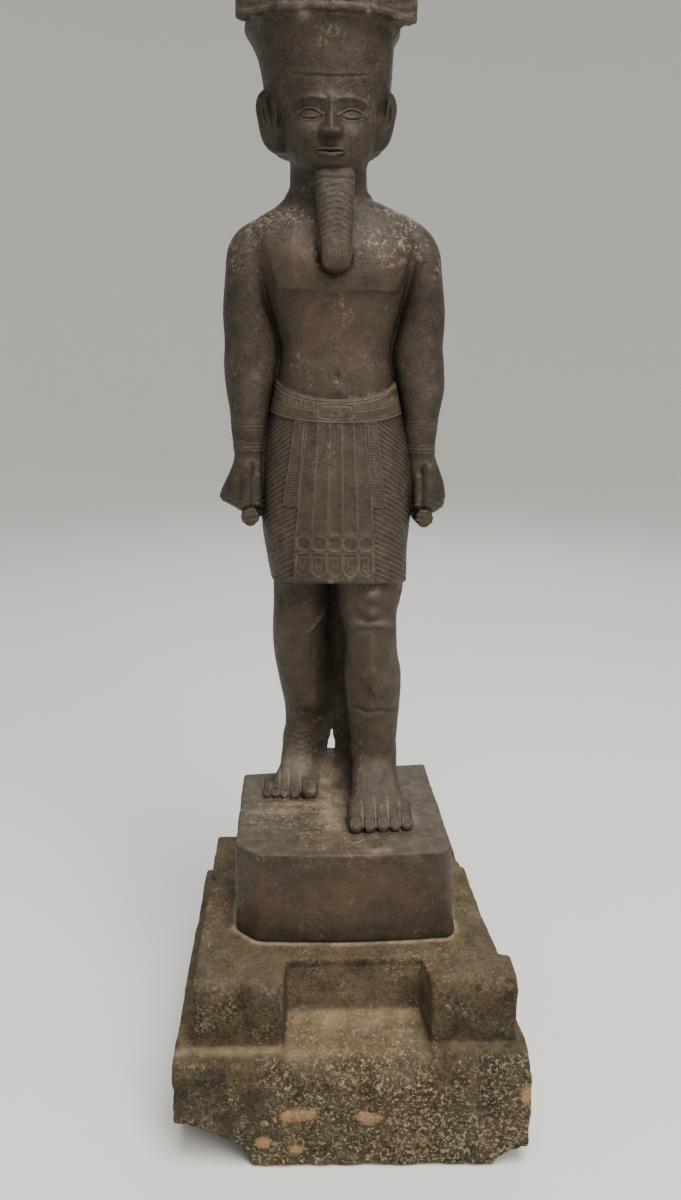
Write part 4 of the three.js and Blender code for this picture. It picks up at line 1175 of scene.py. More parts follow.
# The crown's rim across the forehead, a thin line
def rimCarving(p, normal, v):
    x, rim = p[:, 0] - v["crownMiddle"], v["crownRim"]
    on = faces(normal, 0.3, 0.7) * (1 - smoothStep(np.abs(x), 22, 28))
    z = p[:, 2] - 0.005 * x ** 2
    step = 0.55 * window(z, rim - 0.3, rim + 0.5, rim + 7, rim + 15)
    return on * (step - 0.45 * bump(z - rim + 0.9, 0.7)), 0.5 * on * bump(z - rim - 0.5, 0.6)


# The lowest and highest level of each carving
carvedLevels = {
    "arm": (400, 600), "kilt": (342, 481), "torso": (460, 590), "bracelet": (425, 456),
    "fist": (385, 416), "leg": (205, 341), "toe": (179.4, 197), "rim": (645, 670),
    "beard": (541, 597),
}


# The carved heights and pale lines of the whole figure, by the part that a point is on
def carved(p, normal, armField):
    v, c = figureValues, carvingValues
    x, y, z = p.T
    height, line = np.zeros(len(p)), np.zeros(len(p))

    def levelOf(name):
        low, high = carvedLevels[name]
        return (z > low) & (z < high)
    arm = levelOf("arm")
    fromArm = np.full(len(p), farAway)
    fromArm[arm] = inChunks(armField, p[arm])
    onArm = fromArm < 0.7
    beside = smoothStep(fromArm, 0.7, 2.6)

    def put(where, found, share=1.0):
        height[where] += found[0] * share
        line[where] = np.maximum(line[where], found[1] * share)
    kilt = levelOf("kilt") & ~onArm
    put(kilt, kiltCarving(p[kilt], c), beside[kilt])
    torso = levelOf("torso") & ~onArm & (y < 45)
    share, _ = aroundKilt(p[torso])
    _, top = beltEdges(share, c["belt"])
    put(
        torso, torsoCarving(p[torso], normal[torso], c),
        smoothStep(z[torso], top - 0.5, top + 0.5) * beside[torso],
    )
    cuff = levelOf("bracelet") & onArm
    put(cuff, cuffCarving(p[cuff], c))
    fist = levelOf("fist") & (np.abs(x - c["bodyMiddle"]) > 50)
    put(fist, fistCarving(p[fist], normal[fist], c))
    leg = levelOf("leg")
    put(leg, legCarving(p[leg], normal[leg], c))
    toe = levelOf("toe") & (y < 50)
    put(toe, toeCarving(p[toe], normal[toe], v))
    left, right, _, _ = rowAt(smoothRows(beardRows), z)
    rim = levelOf("rim") & (y < 30)
    put(rim, rimCarving(p[rim], normal[rim], v))
    beard = levelOf("beard") & (y < 10) & (x > left - 1) & (x < right + 1)
    put(beard, beardCarving(p[beard], c))
    plume = (z > v["plume"]["foot"] - 0.6) & (y < 24)
    put(plume, plumeCarving(p[plume], normal[plume], v["plume"]))
    return height, line


# Strokes cut along lines on the stone's skin: each set has its own width and depth
strokeValues = {
    "border": {"width": 0.6, "depth": 0.5},
    "tick": {"width": 0.5, "depth": 0.5},
    "ribbon": {"width": 0.45, "depth": 0.26},
    "cuff": {"width": 0.5, "depth": 0.2},
    "pick": {"width": 0.8, "depth": 0.35},
    "tickPitch": 1.9,
    "beltLevel": 458.0,
    "cuffRings": (431.4, 433.6, 447.4, 449.6), "cuffPanel": (436.0, 445.0),
    "pickTries": 300, "pickArea": [(-70, 64), (-46, 30)], "pickLengths": (2, 5.5),
    "seed": 7,
}


def onSection(rows, power, turn, at):
    middleX, halfX, middleY, halfY = sectionAt(smoothRows(rows), at)
    x = middleX + halfX * signedPower(np.cos(turn), 2 / power)
    y = middleY + halfY * signedPower(np.sin(turn), 2 / power)
    return np.stack(np.broadcast_arrays(x, y, at), -1).astype(float)


def frontTurn(rows, power, x, at):
    middle, half, _, _ = sectionAt(smoothRows(rows), at)
    share = np.clip((x - middle) / half, -1, 1)
    return -np.arccos(signedPower(share, power / 2))


def onFront(rows, power, x, at):
    x, at = np.broadcast_arrays(np.asarray(x, float), np.asarray(at, float))
    return onSection(rows, power, frontTurn(rows, power, x, at), at)


def beltLines(c, v):
    power, belt, middle = v["kiltPower"], c["belt"], c["kiltMiddle"]
    level = strokeValues["beltLevel"]
    borders, ticks = [], []

    def onBelt(turn, at):
        return onSection(kiltRows, power, turn, at)

    def edges(turn):
        low, high = beltEdges(-np.sin(turn), belt)
        return low + 1.5, high - 1.5
    turns = np.linspace(-np.pi, np.pi, 420)
    low, high = edges(turns)
    borders.append(onBelt(turns, low))
    borders.append(onBelt(turns, high))
    half = belt["plaque"]
    for way in (-1, 1):
        reach = np.linspace(half + 0.8, 43.5, 60)
        turn = frontTurn(kiltRows, power, middle + way * reach, level)
        low, high = edges(turn)
        borders.append(onBelt(turn, (low + high) / 2 + 0.3))
        count = int((43 - half) / strokeValues["tickPitch"] * 1.15)
        arc = np.linspace(0, 1, count) ** 0.92
        starts = middle + way * (half + 2.0 + arc * (41.5 - half))
        for x in starts:
            turn = frontTurn(kiltRows, power, x, level)
            low, high = edges(turn)
            share = np.linspace(0, 1, 7)
            top = x + way * 0.6 * share
            z = (low + high) / 2 + 1.2 + share * ((high - low) / 2 - 2.4)
            ticks.append(onFront(kiltRows, power, top, z))
            bottom = x - way * 1.4 + way * 3.0 * (1 - share)
            z = low + 1.2 + share * ((high - low) / 2 - 2.2)
            ticks.append(onFront(kiltRows, power, bottom, z))
    turn = np.linspace(0, 2 * np.pi, 60)
    low, high = edges(-np.pi / 2)
    x = middle + half * signedPower(np.cos(turn), 0.5)
    z = (low + high) / 2 + ((high - low) / 2 - 1.3) * signedPower(np.sin(turn), 0.5)
    borders.append(onFront(kiltRows, power, x, z))
    return borders, ticks


def ribbonLines(c, v):
    r, power, middle = c["ribbon"], v["kiltPower"], c["kiltMiddle"]
    ticks = []
    for way in (-1, 1):
        for z in np.arange(r["low"] + 1.8, r["high"] + 1, strokeValues["tickPitch"]):
            inner, outer = ribbonEdges(z, r)
            inner, outer = inner + 1.3, outer - 1.3
            share = np.linspace(0, 1, 8)
            x = middle + way * (inner + (outer - inner) * share)
            ticks.append(onFront(kiltRows, power, x, z - 0.9 * share))
    return ticks


def cuffLines(v):
    panel = strokeValues["cuffPanel"]
    lines = []
    for rows in (rightArmRows, leftArmRows):
        turns = np.linspace(-np.pi, np.pi, 110)
        for z in strokeValues["cuffRings"]:
            lines.append(onSection(rows, v["limbPower"], turns, np.full(110, z)))
        turns = np.linspace(-0.8 * np.pi, -0.2 * np.pi, 30)
        for z in panel:
            lines.append(onSection(rows, v["limbPower"], turns, np.full(30, z)))
        for turn in (turns[0], turns[-1]):
            lines.append(
                onSection(rows, v["limbPower"], np.full(12, turn), np.linspace(*panel, 12))
            )
    return lines


# Short random pick marks on the footing's top, beside the feet
def pickLines(draw, top, v):
    lines = []
    for _ in range(v["pickTries"]):
        x, y = (draw.uniform(low, high) for low, high in v["pickArea"])
        onFrontFoot, onRearFoot = -4 < x < 50 and y > -28, x < -16 and y > 22
        if onFrontFoot or onRearFoot:
            continue
        length, lean = draw.uniform(*v["pickLengths"]), draw.normal(0, 0.25)
        share = np.linspace(-0.5, 0.5, 6)[:, None]
        along = np.array([math.cos(lean), math.sin(lean), 0.0])
        lines.append(np.array([x, y, top]) + share * length * along)
    return lines


# An object of bare edges along the lines, laid on the finished skin
def strokeObject(name, lines, field, armField):
    points = settled(field, np.concatenate(lines), 3)
    slope = slopeOf(field, points)
    normal = slope / np.linalg.norm(slope, axis=1, keepdims=True)
    points = points + normal * carved(points, normal, armField)[0][:, None]
    edges, start = [], 0
    for line in lines:
        edges += [(start + i, start + i + 1) for i in range(len(line) - 1)]
        start += len(line)
    mesh = bpy.data.meshes.new(name)
    mesh.from_pydata(points / perMetre, edges, [])
    return linked(name, mesh)


# Node trees, for the geometry here and for the stone further down
def nodeAt(tree, kind, **values):
    node = tree.nodes.new(kind)
    for name, value in values.items():
        setattr(node, name, value)
    return node


# Links a value to a socket, or sets it there
def feed(socket, value):
    if isinstance(value, bpy.types.NodeSocket):
        socket.id_data.links.new(value, socket)
    else:
        socket.default_value = value


# A new node tree of either kind, what its inputs put out, and its end
def newTree(treeKind, name, inputs, outputs):
    tree = bpy.data.node_groups.new(name, treeKind)
    for way, sockets in (("INPUT", inputs), ("OUTPUT", outputs)):
        for label, kind, *value in sockets:
            socket = tree.interface.new_socket(label, in_out=way, socket_type="NodeSocket" + kind)
            if value:
                socket.default_value = value[0]
    return tree, tree.nodes.new("NodeGroupInput").outputs, tree.nodes.new("NodeGroupOutput").inputs


# A tree that changes a mesh
def newMeshTree(name, inputs):
    mesh = [("Geometry", "Geometry")]
    tree, given, end = newTree("GeometryNodeTree", name, mesh + inputs, mesh)
    tree.is_modifier = True
    return tree, given, end


def closeTree(tree, given, end, geometry):
    whole = tree.nodes.new("GeometryNodeRealizeInstances")
    finish = tree.nodes.new("GeometryNodeSetMaterial")
    feed(whole.inputs[0], geometry)
    feed(finish.inputs[0], whole.outputs[0])
    feed(finish.inputs["Material"], given["Material"])
    feed(end[0], finish.outputs[0])
    return tree


def readValue(tree, name):
    node = nodeAt(tree, "GeometryNodeInputNamedAttribute", data_type="FLOAT")
    node.inputs["Name"].default_value = name
    return node.outputs["Attribute"]


# A Math node in the tree that its first socket belongs to
def maths(operation, *inputs):
    tree = next(value.id_data for value in inputs if isinstance(value, bpy.types.NodeSocket))
    node = nodeAt(tree, "ShaderNodeMath", operation=operation)
    for socket, value in zip(node.inputs, inputs):
        feed(socket, value)
    return node.outputs[0]


def times(first, second):
    return maths("MULTIPLY", first, second)


def plus(first, second):
    return maths("ADD", first, second)


def minus(first, second):
    return maths("SUBTRACT", first, second)


def moveAlongNormal(tree, geometry, amount):
    normal = tree.nodes.new("GeometryNodeInputNormal")
    scaled = nodeAt(tree, "ShaderNodeVectorMath", operation="SCALE")
    feed(scaled.inputs[0], normal.outputs[0])
    feed(scaled.inputs["Scale"], amount)
    place = tree.nodes.new("GeometryNodeSetPosition")
    feed(place.inputs["Geometry"], geometry)
    feed(place.inputs["Offset"], scaled.outputs[0])
    return place.outputs[0]


# Cuts a groove into the skin along every edge of the lines, and marks it pale
def strokeTree():
    tree, given, end = newMeshTree("cutStrokes", [
        ("Lines", "Object"), ("Width", "Float", 0.0006), ("Depth", "Float", 0.0005),
        ("Paleness", "Float", 0.7), ("Material", "Material"),
    ])
    lines = nodeAt(tree, "GeometryNodeObjectInfo", transform_space="ORIGINAL")
    near = nodeAt(tree, "GeometryNodeProximity", target_element="EDGES")
    feed(lines.inputs[0], given["Lines"])
    feed(near.inputs[0], lines.outputs["Geometry"])
    share = maths("DIVIDE", near.outputs["Distance"], given["Width"])
    hollow = maths("MAXIMUM", minus(1.0, maths("POWER", share, 1.6)), 0.0)
    amount = times(times(hollow, given["Depth"]), -1.0)
    old = readValue(tree, "line")
    pale = times(hollow, given["Paleness"])
    keep = nodeAt(tree, "GeometryNodeStoreNamedAttribute", data_type="FLOAT", domain="POINT")
    keep.inputs["Name"].default_value = "line"
    feed(keep.inputs["Geometry"], given["Geometry"])
    feed(keep.inputs["Value"], maths("MAXIMUM", old, pale))
    return closeTree(tree, given, end, moveAlongNormal(tree, keep.outputs["Geometry"], amount))


# Weathers the skin: broadly uneven, with pits and grains where the mesh's rough value is high
def weatherTree():
    tree, given, end = newMeshTree("weatherStone", [
        ("Broad size", "Float", 0.02), ("Broad depth", "Float", 0.0003),
        ("Grain size", "Float", 0.004), ("Grain depth", "Float", 0.0003),
        ("Pit size", "Float", 0.006), ("Pit depth", "Float", 0.0006),
        ("Seed", "Float", 1.0), ("Material", "Material"),
    ])
    place = tree.nodes.new("GeometryNodeInputPosition")
    rough = readValue(tree, "rough")

    def noise(size, shift, detail):
        node = nodeAt(tree, "ShaderNodeTexNoise", noise_dimensions="4D")
        feed(node.inputs["Vector"], place.outputs[0])
        feed(node.inputs["W"], plus(given["Seed"], shift))
        feed(node.inputs["Scale"], maths("DIVIDE", 1.0, given[size]))
        node.inputs["Detail"].default_value = detail
        node.inputs["Roughness"].default_value = 0.55
        return node.outputs[0]
    broad = times(minus(noise("Broad size", 0.0, 2.0), 0.5), given["Broad depth"])
    grain = times(minus(noise("Grain size", 3.1, 3.0), 0.5), given["Grain depth"])
    pit = maths("MAXIMUM", minus(noise("Pit size", 7.7, 1.0), 0.58), 0.0)
    pit = times(times(pit, given["Pit depth"]), -8.0)
    fine = times(plus(grain, pit), rough)
    held = maths("MINIMUM", times(rough, 10.0), 1.0)
    amount = plus(times(times(broad, 2.0), held), fine)
    return closeTree(tree, given, end, moveAlongNormal(tree, given["Geometry"], amount))


# Adds a tree as a modifier, with its inputs found by name
def addTree(thing, tree, values):
    modifier = thing.modifiers.new(tree.name, "NODES")
    modifier.node_group = tree
    for socket in tree.interface.items_tree:
        if socket.item_type == "SOCKET" and socket.in_out == "INPUT" and socket.name in values:
            modifier[socket.identifier] = values[socket.name]
    return modifier


# Turns a piece and its modifiers into a plain mesh
def settle(thing):
    bpy.context.view_layer.update()
    seen = thing.evaluated_get(bpy.context.evaluated_depsgraph_get())
    mesh = bpy.data.meshes.new_from_object(seen)
    thing.modifiers.clear()
    old = thing.data
    thing.data = mesh
    bpy.data.meshes.remove(old)
    mesh.name = thing.name


def meshOf(name, points, tris):
    mesh = bpy.data.meshes.new(name)
    mesh.vertices.add(len(points))
    mesh.vertices.foreach_set("co", (points / perMetre).astype(np.float32).ravel())
    mesh.loops.add(tris.size)
    mesh.loops.foreach_set("vertex_index", tris.astype(np.int32).ravel())
    mesh.polygons.add(len(tris))
    mesh.polygons.foreach_set("loop_start", np.arange(0, tris.size, 3, dtype=np.int32))
    mesh.update(calc_edges=True)
    return linked(name, mesh)


def arraysOf(thing):
    mesh = thing.data
    points = np.empty(len(mesh.vertices) * 3, np.float32)
    mesh.vertices.foreach_get("co", points)
    mesh.calc_loop_triangles()
    tris = np.empty(len(mesh.loop_triangles) * 3, np.int32)
    mesh.loop_triangles.foreach_get("vertices", tris)
    return points.reshape(-1, 3).astype(float) * perMetre, tris.reshape(-1, 3)


# Stores one value for each point of the mesh
def giveValues(thing, name, values):
    layer = thing.data.attributes.get(name) or thing.data.attributes.new(name, "FLOAT", "POINT")
    layer.data.foreach_set("value", np.ascontiguousarray(values, np.float32))


# Keeps the one large skin, and drops loose specks that a thin place may leave
def largestSkin(points, tris):
    group = np.arange(len(points))
    for _ in range(200):
        low = np.minimum.reduce([group[tris[:, k]] for k in range(3)])
        new = group.copy()
        for k in range(3):
            np.minimum.at(new, tris[:, k], low)
        new = new[new]
        if (new == group).all():
            break
        group = new
    main = np.bincount(group[tris[:, 0]]).argmax()
    keep = tris[group[tris[:, 0]] == main]
    used = np.unique(keep)
    number = np.full(len(points), -1)
    number[used] = np.arange(len(used))
    return points[used], number[keep]


# The points' average over their neighbours, repeated: a smoother copy of the skin
def smoothed(points, tris, rounds):
    ends = np.concatenate([tris[:, [0, 1]], tris[:, [1, 2]], tris[:, [2, 0]]])
    count = (
        np.bincount(ends[:, 0], minlength=len(points))
        + np.bincount(ends[:, 1], minlength=len(points))
    )
    for _ in range(rounds):
        total = np.zeros_like(points)
        for axis in range(points.shape[1]):
            total[:, axis] = np.bincount(ends[:, 0], points[ends[:, 1], axis], len(points))
            total[:, axis] += np.bincount(ends[:, 1], points[ends[:, 0], axis], len(points))
        points = 0.5 * points + 0.5 * total / np.maximum(count, 1)[:, None]
    return points


# Worn edges from curvature, and painted shade: in creases, and in places that nearby stone shelters
# from the light
wearAndShadeValues = {"edges": 1.1, "near": 2.5, "nearShare": 0.5, "wide": 9, "wideShare": 0.6}


# Curvature from the skin's own smoother copy, for worn edges and for painted shade in creases, and
# painted shade in sheltered places, read from the field a little way out
def giveWearAndShade(thing, field, v):
    points, tris = arraysOf(thing)
    normal = normalsOf(points, tris)
    length = np.linalg.norm(points[tris[:, 0]] - points[tris[:, 1]], axis=1)
    reach = (
        np.bincount(tris.ravel(), np.repeat(length, 3), len(points))
        / np.maximum(np.bincount(tris.ravel()), 1)
    )
    reach = smoothed(reach[:, None], tris, 2)[:, 0]
    # Where the skin stands out from its smoother copy its edges are painted pale as worn; where it
    # sinks it gets painted shade
    away = ((points - smoothed(points, tris, 3)) * normal).sum(axis=1)
    giveValues(thing, "worn", np.clip(away / reach ** 2 * v["edges"], -1, 1))

    # Painted shade: how much of the space a little way out along the normal is stone, as in ambient
    # occlusion
    def covered(out):
        return np.clip(1 - inChunks(field, points + out * normal) / out, 0, 1)
    shelter = v["nearShare"] * covered(v["near"]) + v["wideShare"] * covered(v["wide"])
    giveValues(thing, "shelter", np.clip(shelter, 0, 1))
    return points, normal


# Where the skin is made finer, and where finer still: left, right, back, lowest, highest
farOff = 1000
fineZones = {
    1: {
        "face": [-48, 16, 40, 597, 654],
        "beard": [-26, 0, 12, 537, 600],
        "rightBracelet": [-farOff, -56, 42, 428, 453],
        "leftBracelet": [34, farOff, 42, 428, 453],
        "toes": [-farOff, farOff, 44, 179.5, 193],
        "rightEar": [-farOff, -48, 55, 616, 655],
        "leftEar": [14, farOff, 55, 616, 655],
        "navel": [-18, -2, 30, 470, 486],
        "plumes": [-farOff, farOff, 22, 683, 760],
    },
    2: {
        "face": [-38, 6, 18, 606, 640],
        "rightBracelet": [-farOff, -56, 34, 430, 452],
        "leftBracelet": [34, farOff, 34, 430, 452],
    },
}


# The kilt's zones go by height, and by how far they face the front
kiltZones = {
    "sides": (-62, 46), "kilt": (342, 480, -0.75), "belt": (442, 479, 0.1),
    "ribbon": (394, 452, 0.3), "ribbonReach": (18, 36),
}


def zoneOf(p, level):
    x, y, z = p.T
    share, _ = aroundKilt(p)

    def between(value, low, high):
        return (value > low) & (value < high)

    def inZone(name):
        low, high, least = kiltZones[name]
        return between(z, low, high) & (share > least)
    out = inZone("kilt")
    if level == 2:
        aside = np.abs(x - carvingValues["kiltMiddle"])
        ribbon = inZone("ribbon") & between(aside, *kiltZones["ribbonReach"])
        out &= inZone("belt") | ribbon
    out &= between(x, *kiltZones["sides"])
    for left, right, back, low, high in fineZones[level].values():
        out |= between(x, left, right) & (y < back) & between(z, low, high)
    return out


def buildStatue(v):
    field = unite(statueForms(v))
    points, quads = skinOf(field, *v["skinBox"], v["skinStep"])
    points, tris = largestSkin(points, triangled(points, quads))
    points = settled(field, points, 1)
    print("statue skin", len(tris))
    for level in (1, 2):
        middle = points[tris].mean(axis=1)
        points, tris = refined(points, tris, zoneOf(middle, level))
    points = settled(field, points, 1)
    normal = normalsOf(points, tris)
    arms = unite(
        armForms(rightArmRows, rightHandRows, -1, v) + armForms(leftArmRows, leftHandRows, 1, v)
    )
    height, line = carved(points, normal, arms)
    made = meshOf("statueStone", points + normal * height[:, None], tris)
    giveValues(made, "line", line)
    print("statue carved", len(tris))
    return made, field, arms


statue, figureField, armField = buildStatue(figureValues)


baseValues = {
    "slab": {
        "left": -111.0, "right": 111.0, "frontLeft": -113.0, "frontRight": -119.0, "back": 119.0,
        "top": 73.0,
    },
    "platform": {
        "left": -99.0, "front": -96.0, "back": 97.0, "rightFront": 104.0, "right": 98.0,
        "rightBack": 90.0, "top": 115.3, "worn": 7.0,
    },
    "recess": {
        "left": -43.0, "leftBack": -41.0, "right": 46.0, "back": -70.0, "foot": 80.0, "sill": 71.0,
        "mouth": 61.0,
    },
    # Broken places: centre, then half sizes
    "chips": [
        [(-116, -118, -2), (54, 46, 34)], [(122, -124, -8), (37, 40, 24)],
        [(108, 118, 4), (20, 26, 16)], [(-111, 60, 74), (5, 16, 4)], [(60, 120, 73), (17, 5, 4)],
        [(-60, -97, 116), (9, 4, 3)], [(98, -96, 115), (7, 6, 5)], [(-99, 30, 116), (4, 12, 4)],
        [(30, 98, 116), (13, 4, 3.5)], [(92, 60, 116), (4, 9, 4)],
    ],
    # The broken upper edge of the slab's front: x, and how high the front reaches there
    "brokenEdge": [
        (-111, 74), (-92, 71), (-60, 67), (-30, 59), (0, 53), (28, 51), (68, 52), (90, 58),
        (111, 60),
    ],
    "skinBox": [(-120.5, -128.5, -8.2), (120, 128, 124)],
    "skinStep": 1.6,
}


def baseField(v):
    s, t, r = v["slab"], v["platform"], v["recess"]
    low, high = [-112, -120, 0], [112, 120, 116]
    tilt = (s["frontRight"] - s["frontLeft"]) / (s["right"] - s["left"])
    slab = block(low, high, [
        lambda p: s["left"] - p[:, 0],
        lambda p: p[:, 0] - s["right"],
        lambda p: s["frontLeft"] + tilt * (p[:, 0] - s["left"]) - p[:, 1],
        lambda p: p[:, 1] - s["back"],
        lambda p: p[:, 2] - s["top"],
        lambda p: -p[:, 2],
    ], 3.0)

    def rightOf(y):
        return np.interp(
            y, [-96, -68, -66, 97],
            [t["rightFront"], t["rightFront"] + 1, t["right"], t["rightBack"]],
        )
    platform = block(low, high, [
        lambda p: t["left"] - p[:, 0],
        lambda p: p[:, 0] - rightOf(p[:, 1]),
        lambda p: t["front"] - p[:, 1],
        lambda p: p[:, 1] - t["back"],
        lambda p: p[:, 2] - t["top"],
        lambda p: (t["front"] + t["worn"] - p[:, 1] + p[:, 2] - t["top"]) / math.sqrt(2),
        lambda p: s["top"] - 6 - p[:, 2],
    ], 2.6)

    def recess(p):
        x, y, z = p.T
        floor = (
            np.interp(y, [-124, t["front"], r["back"]], [r["mouth"], r["sill"], r["foot"]]) - 0.6
        )
        left = np.interp(y, [t["front"], r["back"]], [r["left"], r["leftBack"]])
        out = softMax(left - x, x - r["right"] - 0.17 * np.minimum(r["back"] - y, 26), 2.0)
        return softMax(softMax(out, y - r["back"], 3.0), floor - z, 3.5)
    edgeAt, edgeHeight = np.array(v["brokenEdge"], float).T

    def broken(p):
        edge = np.interp(p[:, 0], edgeAt, edgeHeight)
        t = np.clip((p[:, 1] + 119) / 21, 0, 1.4)
        lift = (
            edge + (s["top"] + 1.5 - edge) * t ** 0.8 + 0.8 * unevenness(p, 8, 33)
            + 0.5 * unevenness(p, 4, 34)
        )
        return (p[:, 2] - lift) * 0.8
    bites = [ellipsoid(place, size) for place, size in v["chips"]]

    def field(p):
        wander = 0.65 * unevenness(p, 23, 11) + 0.35 * unevenness(p, 9, 12)
        q = p.copy()
        q[:, :2] *= (1.006 + 0.009 * wander)[:, None]
        q[:, 2] += 0.35 * wander * (p[:, 2] < t["top"] - 8)
        front = q.copy()
        front[:, 1] -= (
            1.1 * (1 + 0.6 * unevenness(p, 16, 21) + 0.4 * unevenness(p, 6, 22))
            * (p[:, 1] < t["front"])
        )
        out = softMax(slab["field"](front), broken(p), 2.5)
        out = softMin(out, platform["field"](q), 2.0)
        out = softMax(out, -recess(q), np.interp(p[:, 1], [-116, -98], [7.0, 2.2]))
        for bite in bites:
            near = nearForm(bite, p, biteMargin)
            if len(near):
                spot = p[near]
                ragged = (
                    bite["field"](spot) + 1.1 * unevenness(spot, 7, 41)
                    + 0.7 * unevenness(spot, 3.2, 42)
                )
                out[near] = softMax(out[near], -ragged, 0.8)
        return np.maximum(out, np.maximum(p[:, 2] - t["top"], -p[:, 2]))
    return field


# Where the base is rough: its front, the broken places, and a little on the blocks and the ramp
def baseRoughness(p, normal, v):
    x, y, z = p.T
    top = v["platform"]["top"]
    front = faces(normal, 0.05, 0.5)
    slabFront = (1 - smoothStep(z, 66, 76)) * smoothStep(-y, 95, 103)
    broken = np.zeros(len(p))
    for place, size in v["chips"]:
        away = np.linalg.norm((p - np.array(place)) / np.array(size), axis=1)
        broken = np.maximum(broken, 0.9 * (1 - smoothStep(away, 0.98, 1.1)))
    inRecess = (x > -45) & (x < 52) & (y > -86) & (y < -64)
    everywhere = np.maximum(
        np.maximum(0.2, 0.35 * front * ~inRecess), np.maximum(slabFront, broken),
    )
    return (
        np.clip(everywhere, 0, 1) * (1 - smoothStep(z, top - 1.5, top - 0.3))
        * smoothStep(z, 0.4, 3.5)
    )


def buildBase(v):
    field = baseField(v)
    points, quads = skinOf(field, *v["skinBox"], v["skinStep"])
    points, tris = largestSkin(points, triangled(points, quads))
    points = settled(field, points, 1)
    points[:, 2] = np.clip(points[:, 2], 0, v["platform"]["top"])
    made = meshOf("baseStone", points, tris)
    giveValues(made, "rough", baseRoughness(points, normalsOf(points, tris), v))
    giveValues(made, "line", np.zeros(len(points)))
    print("base skin", len(tris))
    return made, field


# The statue is smooth above, rougher on its legs, and roughest on its footing's top
def statueRoughness(p, footingTop):
    z = p[:, 2]
    legs = 1 - smoothStep(z, 330, 345)
    footing = 1 - smoothStep(z, 172, 176)
    onTop = bump(z - footingTop, 2.5)
    return (
        np.clip(0.2 + 0.15 * legs + 0.05 * footing + 0.45 * onTop, 0, 1) * smoothStep(z, 115.8, 118)
    )


base, stoneField = buildBase(baseValues)


def cutStrokes():
    draw = np.random.default_rng(strokeValues["seed"])
    borders, ticks = beltLines(carvingValues, figureValues)
    tree = strokeTree()
    helpers = []
    for name, lines, paleness in (
        ("border", borders, 0.75), ("tick", ticks, 0.25),
        ("ribbon", ribbonLines(carvingValues, figureValues), 0.25),
        ("cuff", cuffLines(figureValues), 0.4),
        ("pick", pickLines(draw, figureValues["footing"]["top"], strokeValues), 0.25),
    ):
        values = strokeValues[name]
        made = strokeObject(name + "Lines", lines, figureField, armField)
        helpers.append(made)
        addTree(statue, tree, {
            "Lines": made, "Width": values["width"] / perMetre,
            "Depth": values["depth"] / perMetre, "Paleness": paleness,
        })
    return helpers


weatherValues = {
    "statue": {
        "Broad size": 0.026, "Broad depth": 0.0005, "Grain size": 0.003, "Grain depth": 0.0003,
        "Pit size": 0.006, "Pit depth": 0.0006, "Seed": 2.0,
    },
    "base": {
        "Broad size": 0.022, "Broad depth": 0.0006, "Grain size": 0.006, "Grain depth": 0.0026,
        "Pit size": 0.008, "Pit depth": 0.0012, "Seed": 5.0,
    },
    "mostTriangles": 196000,
}

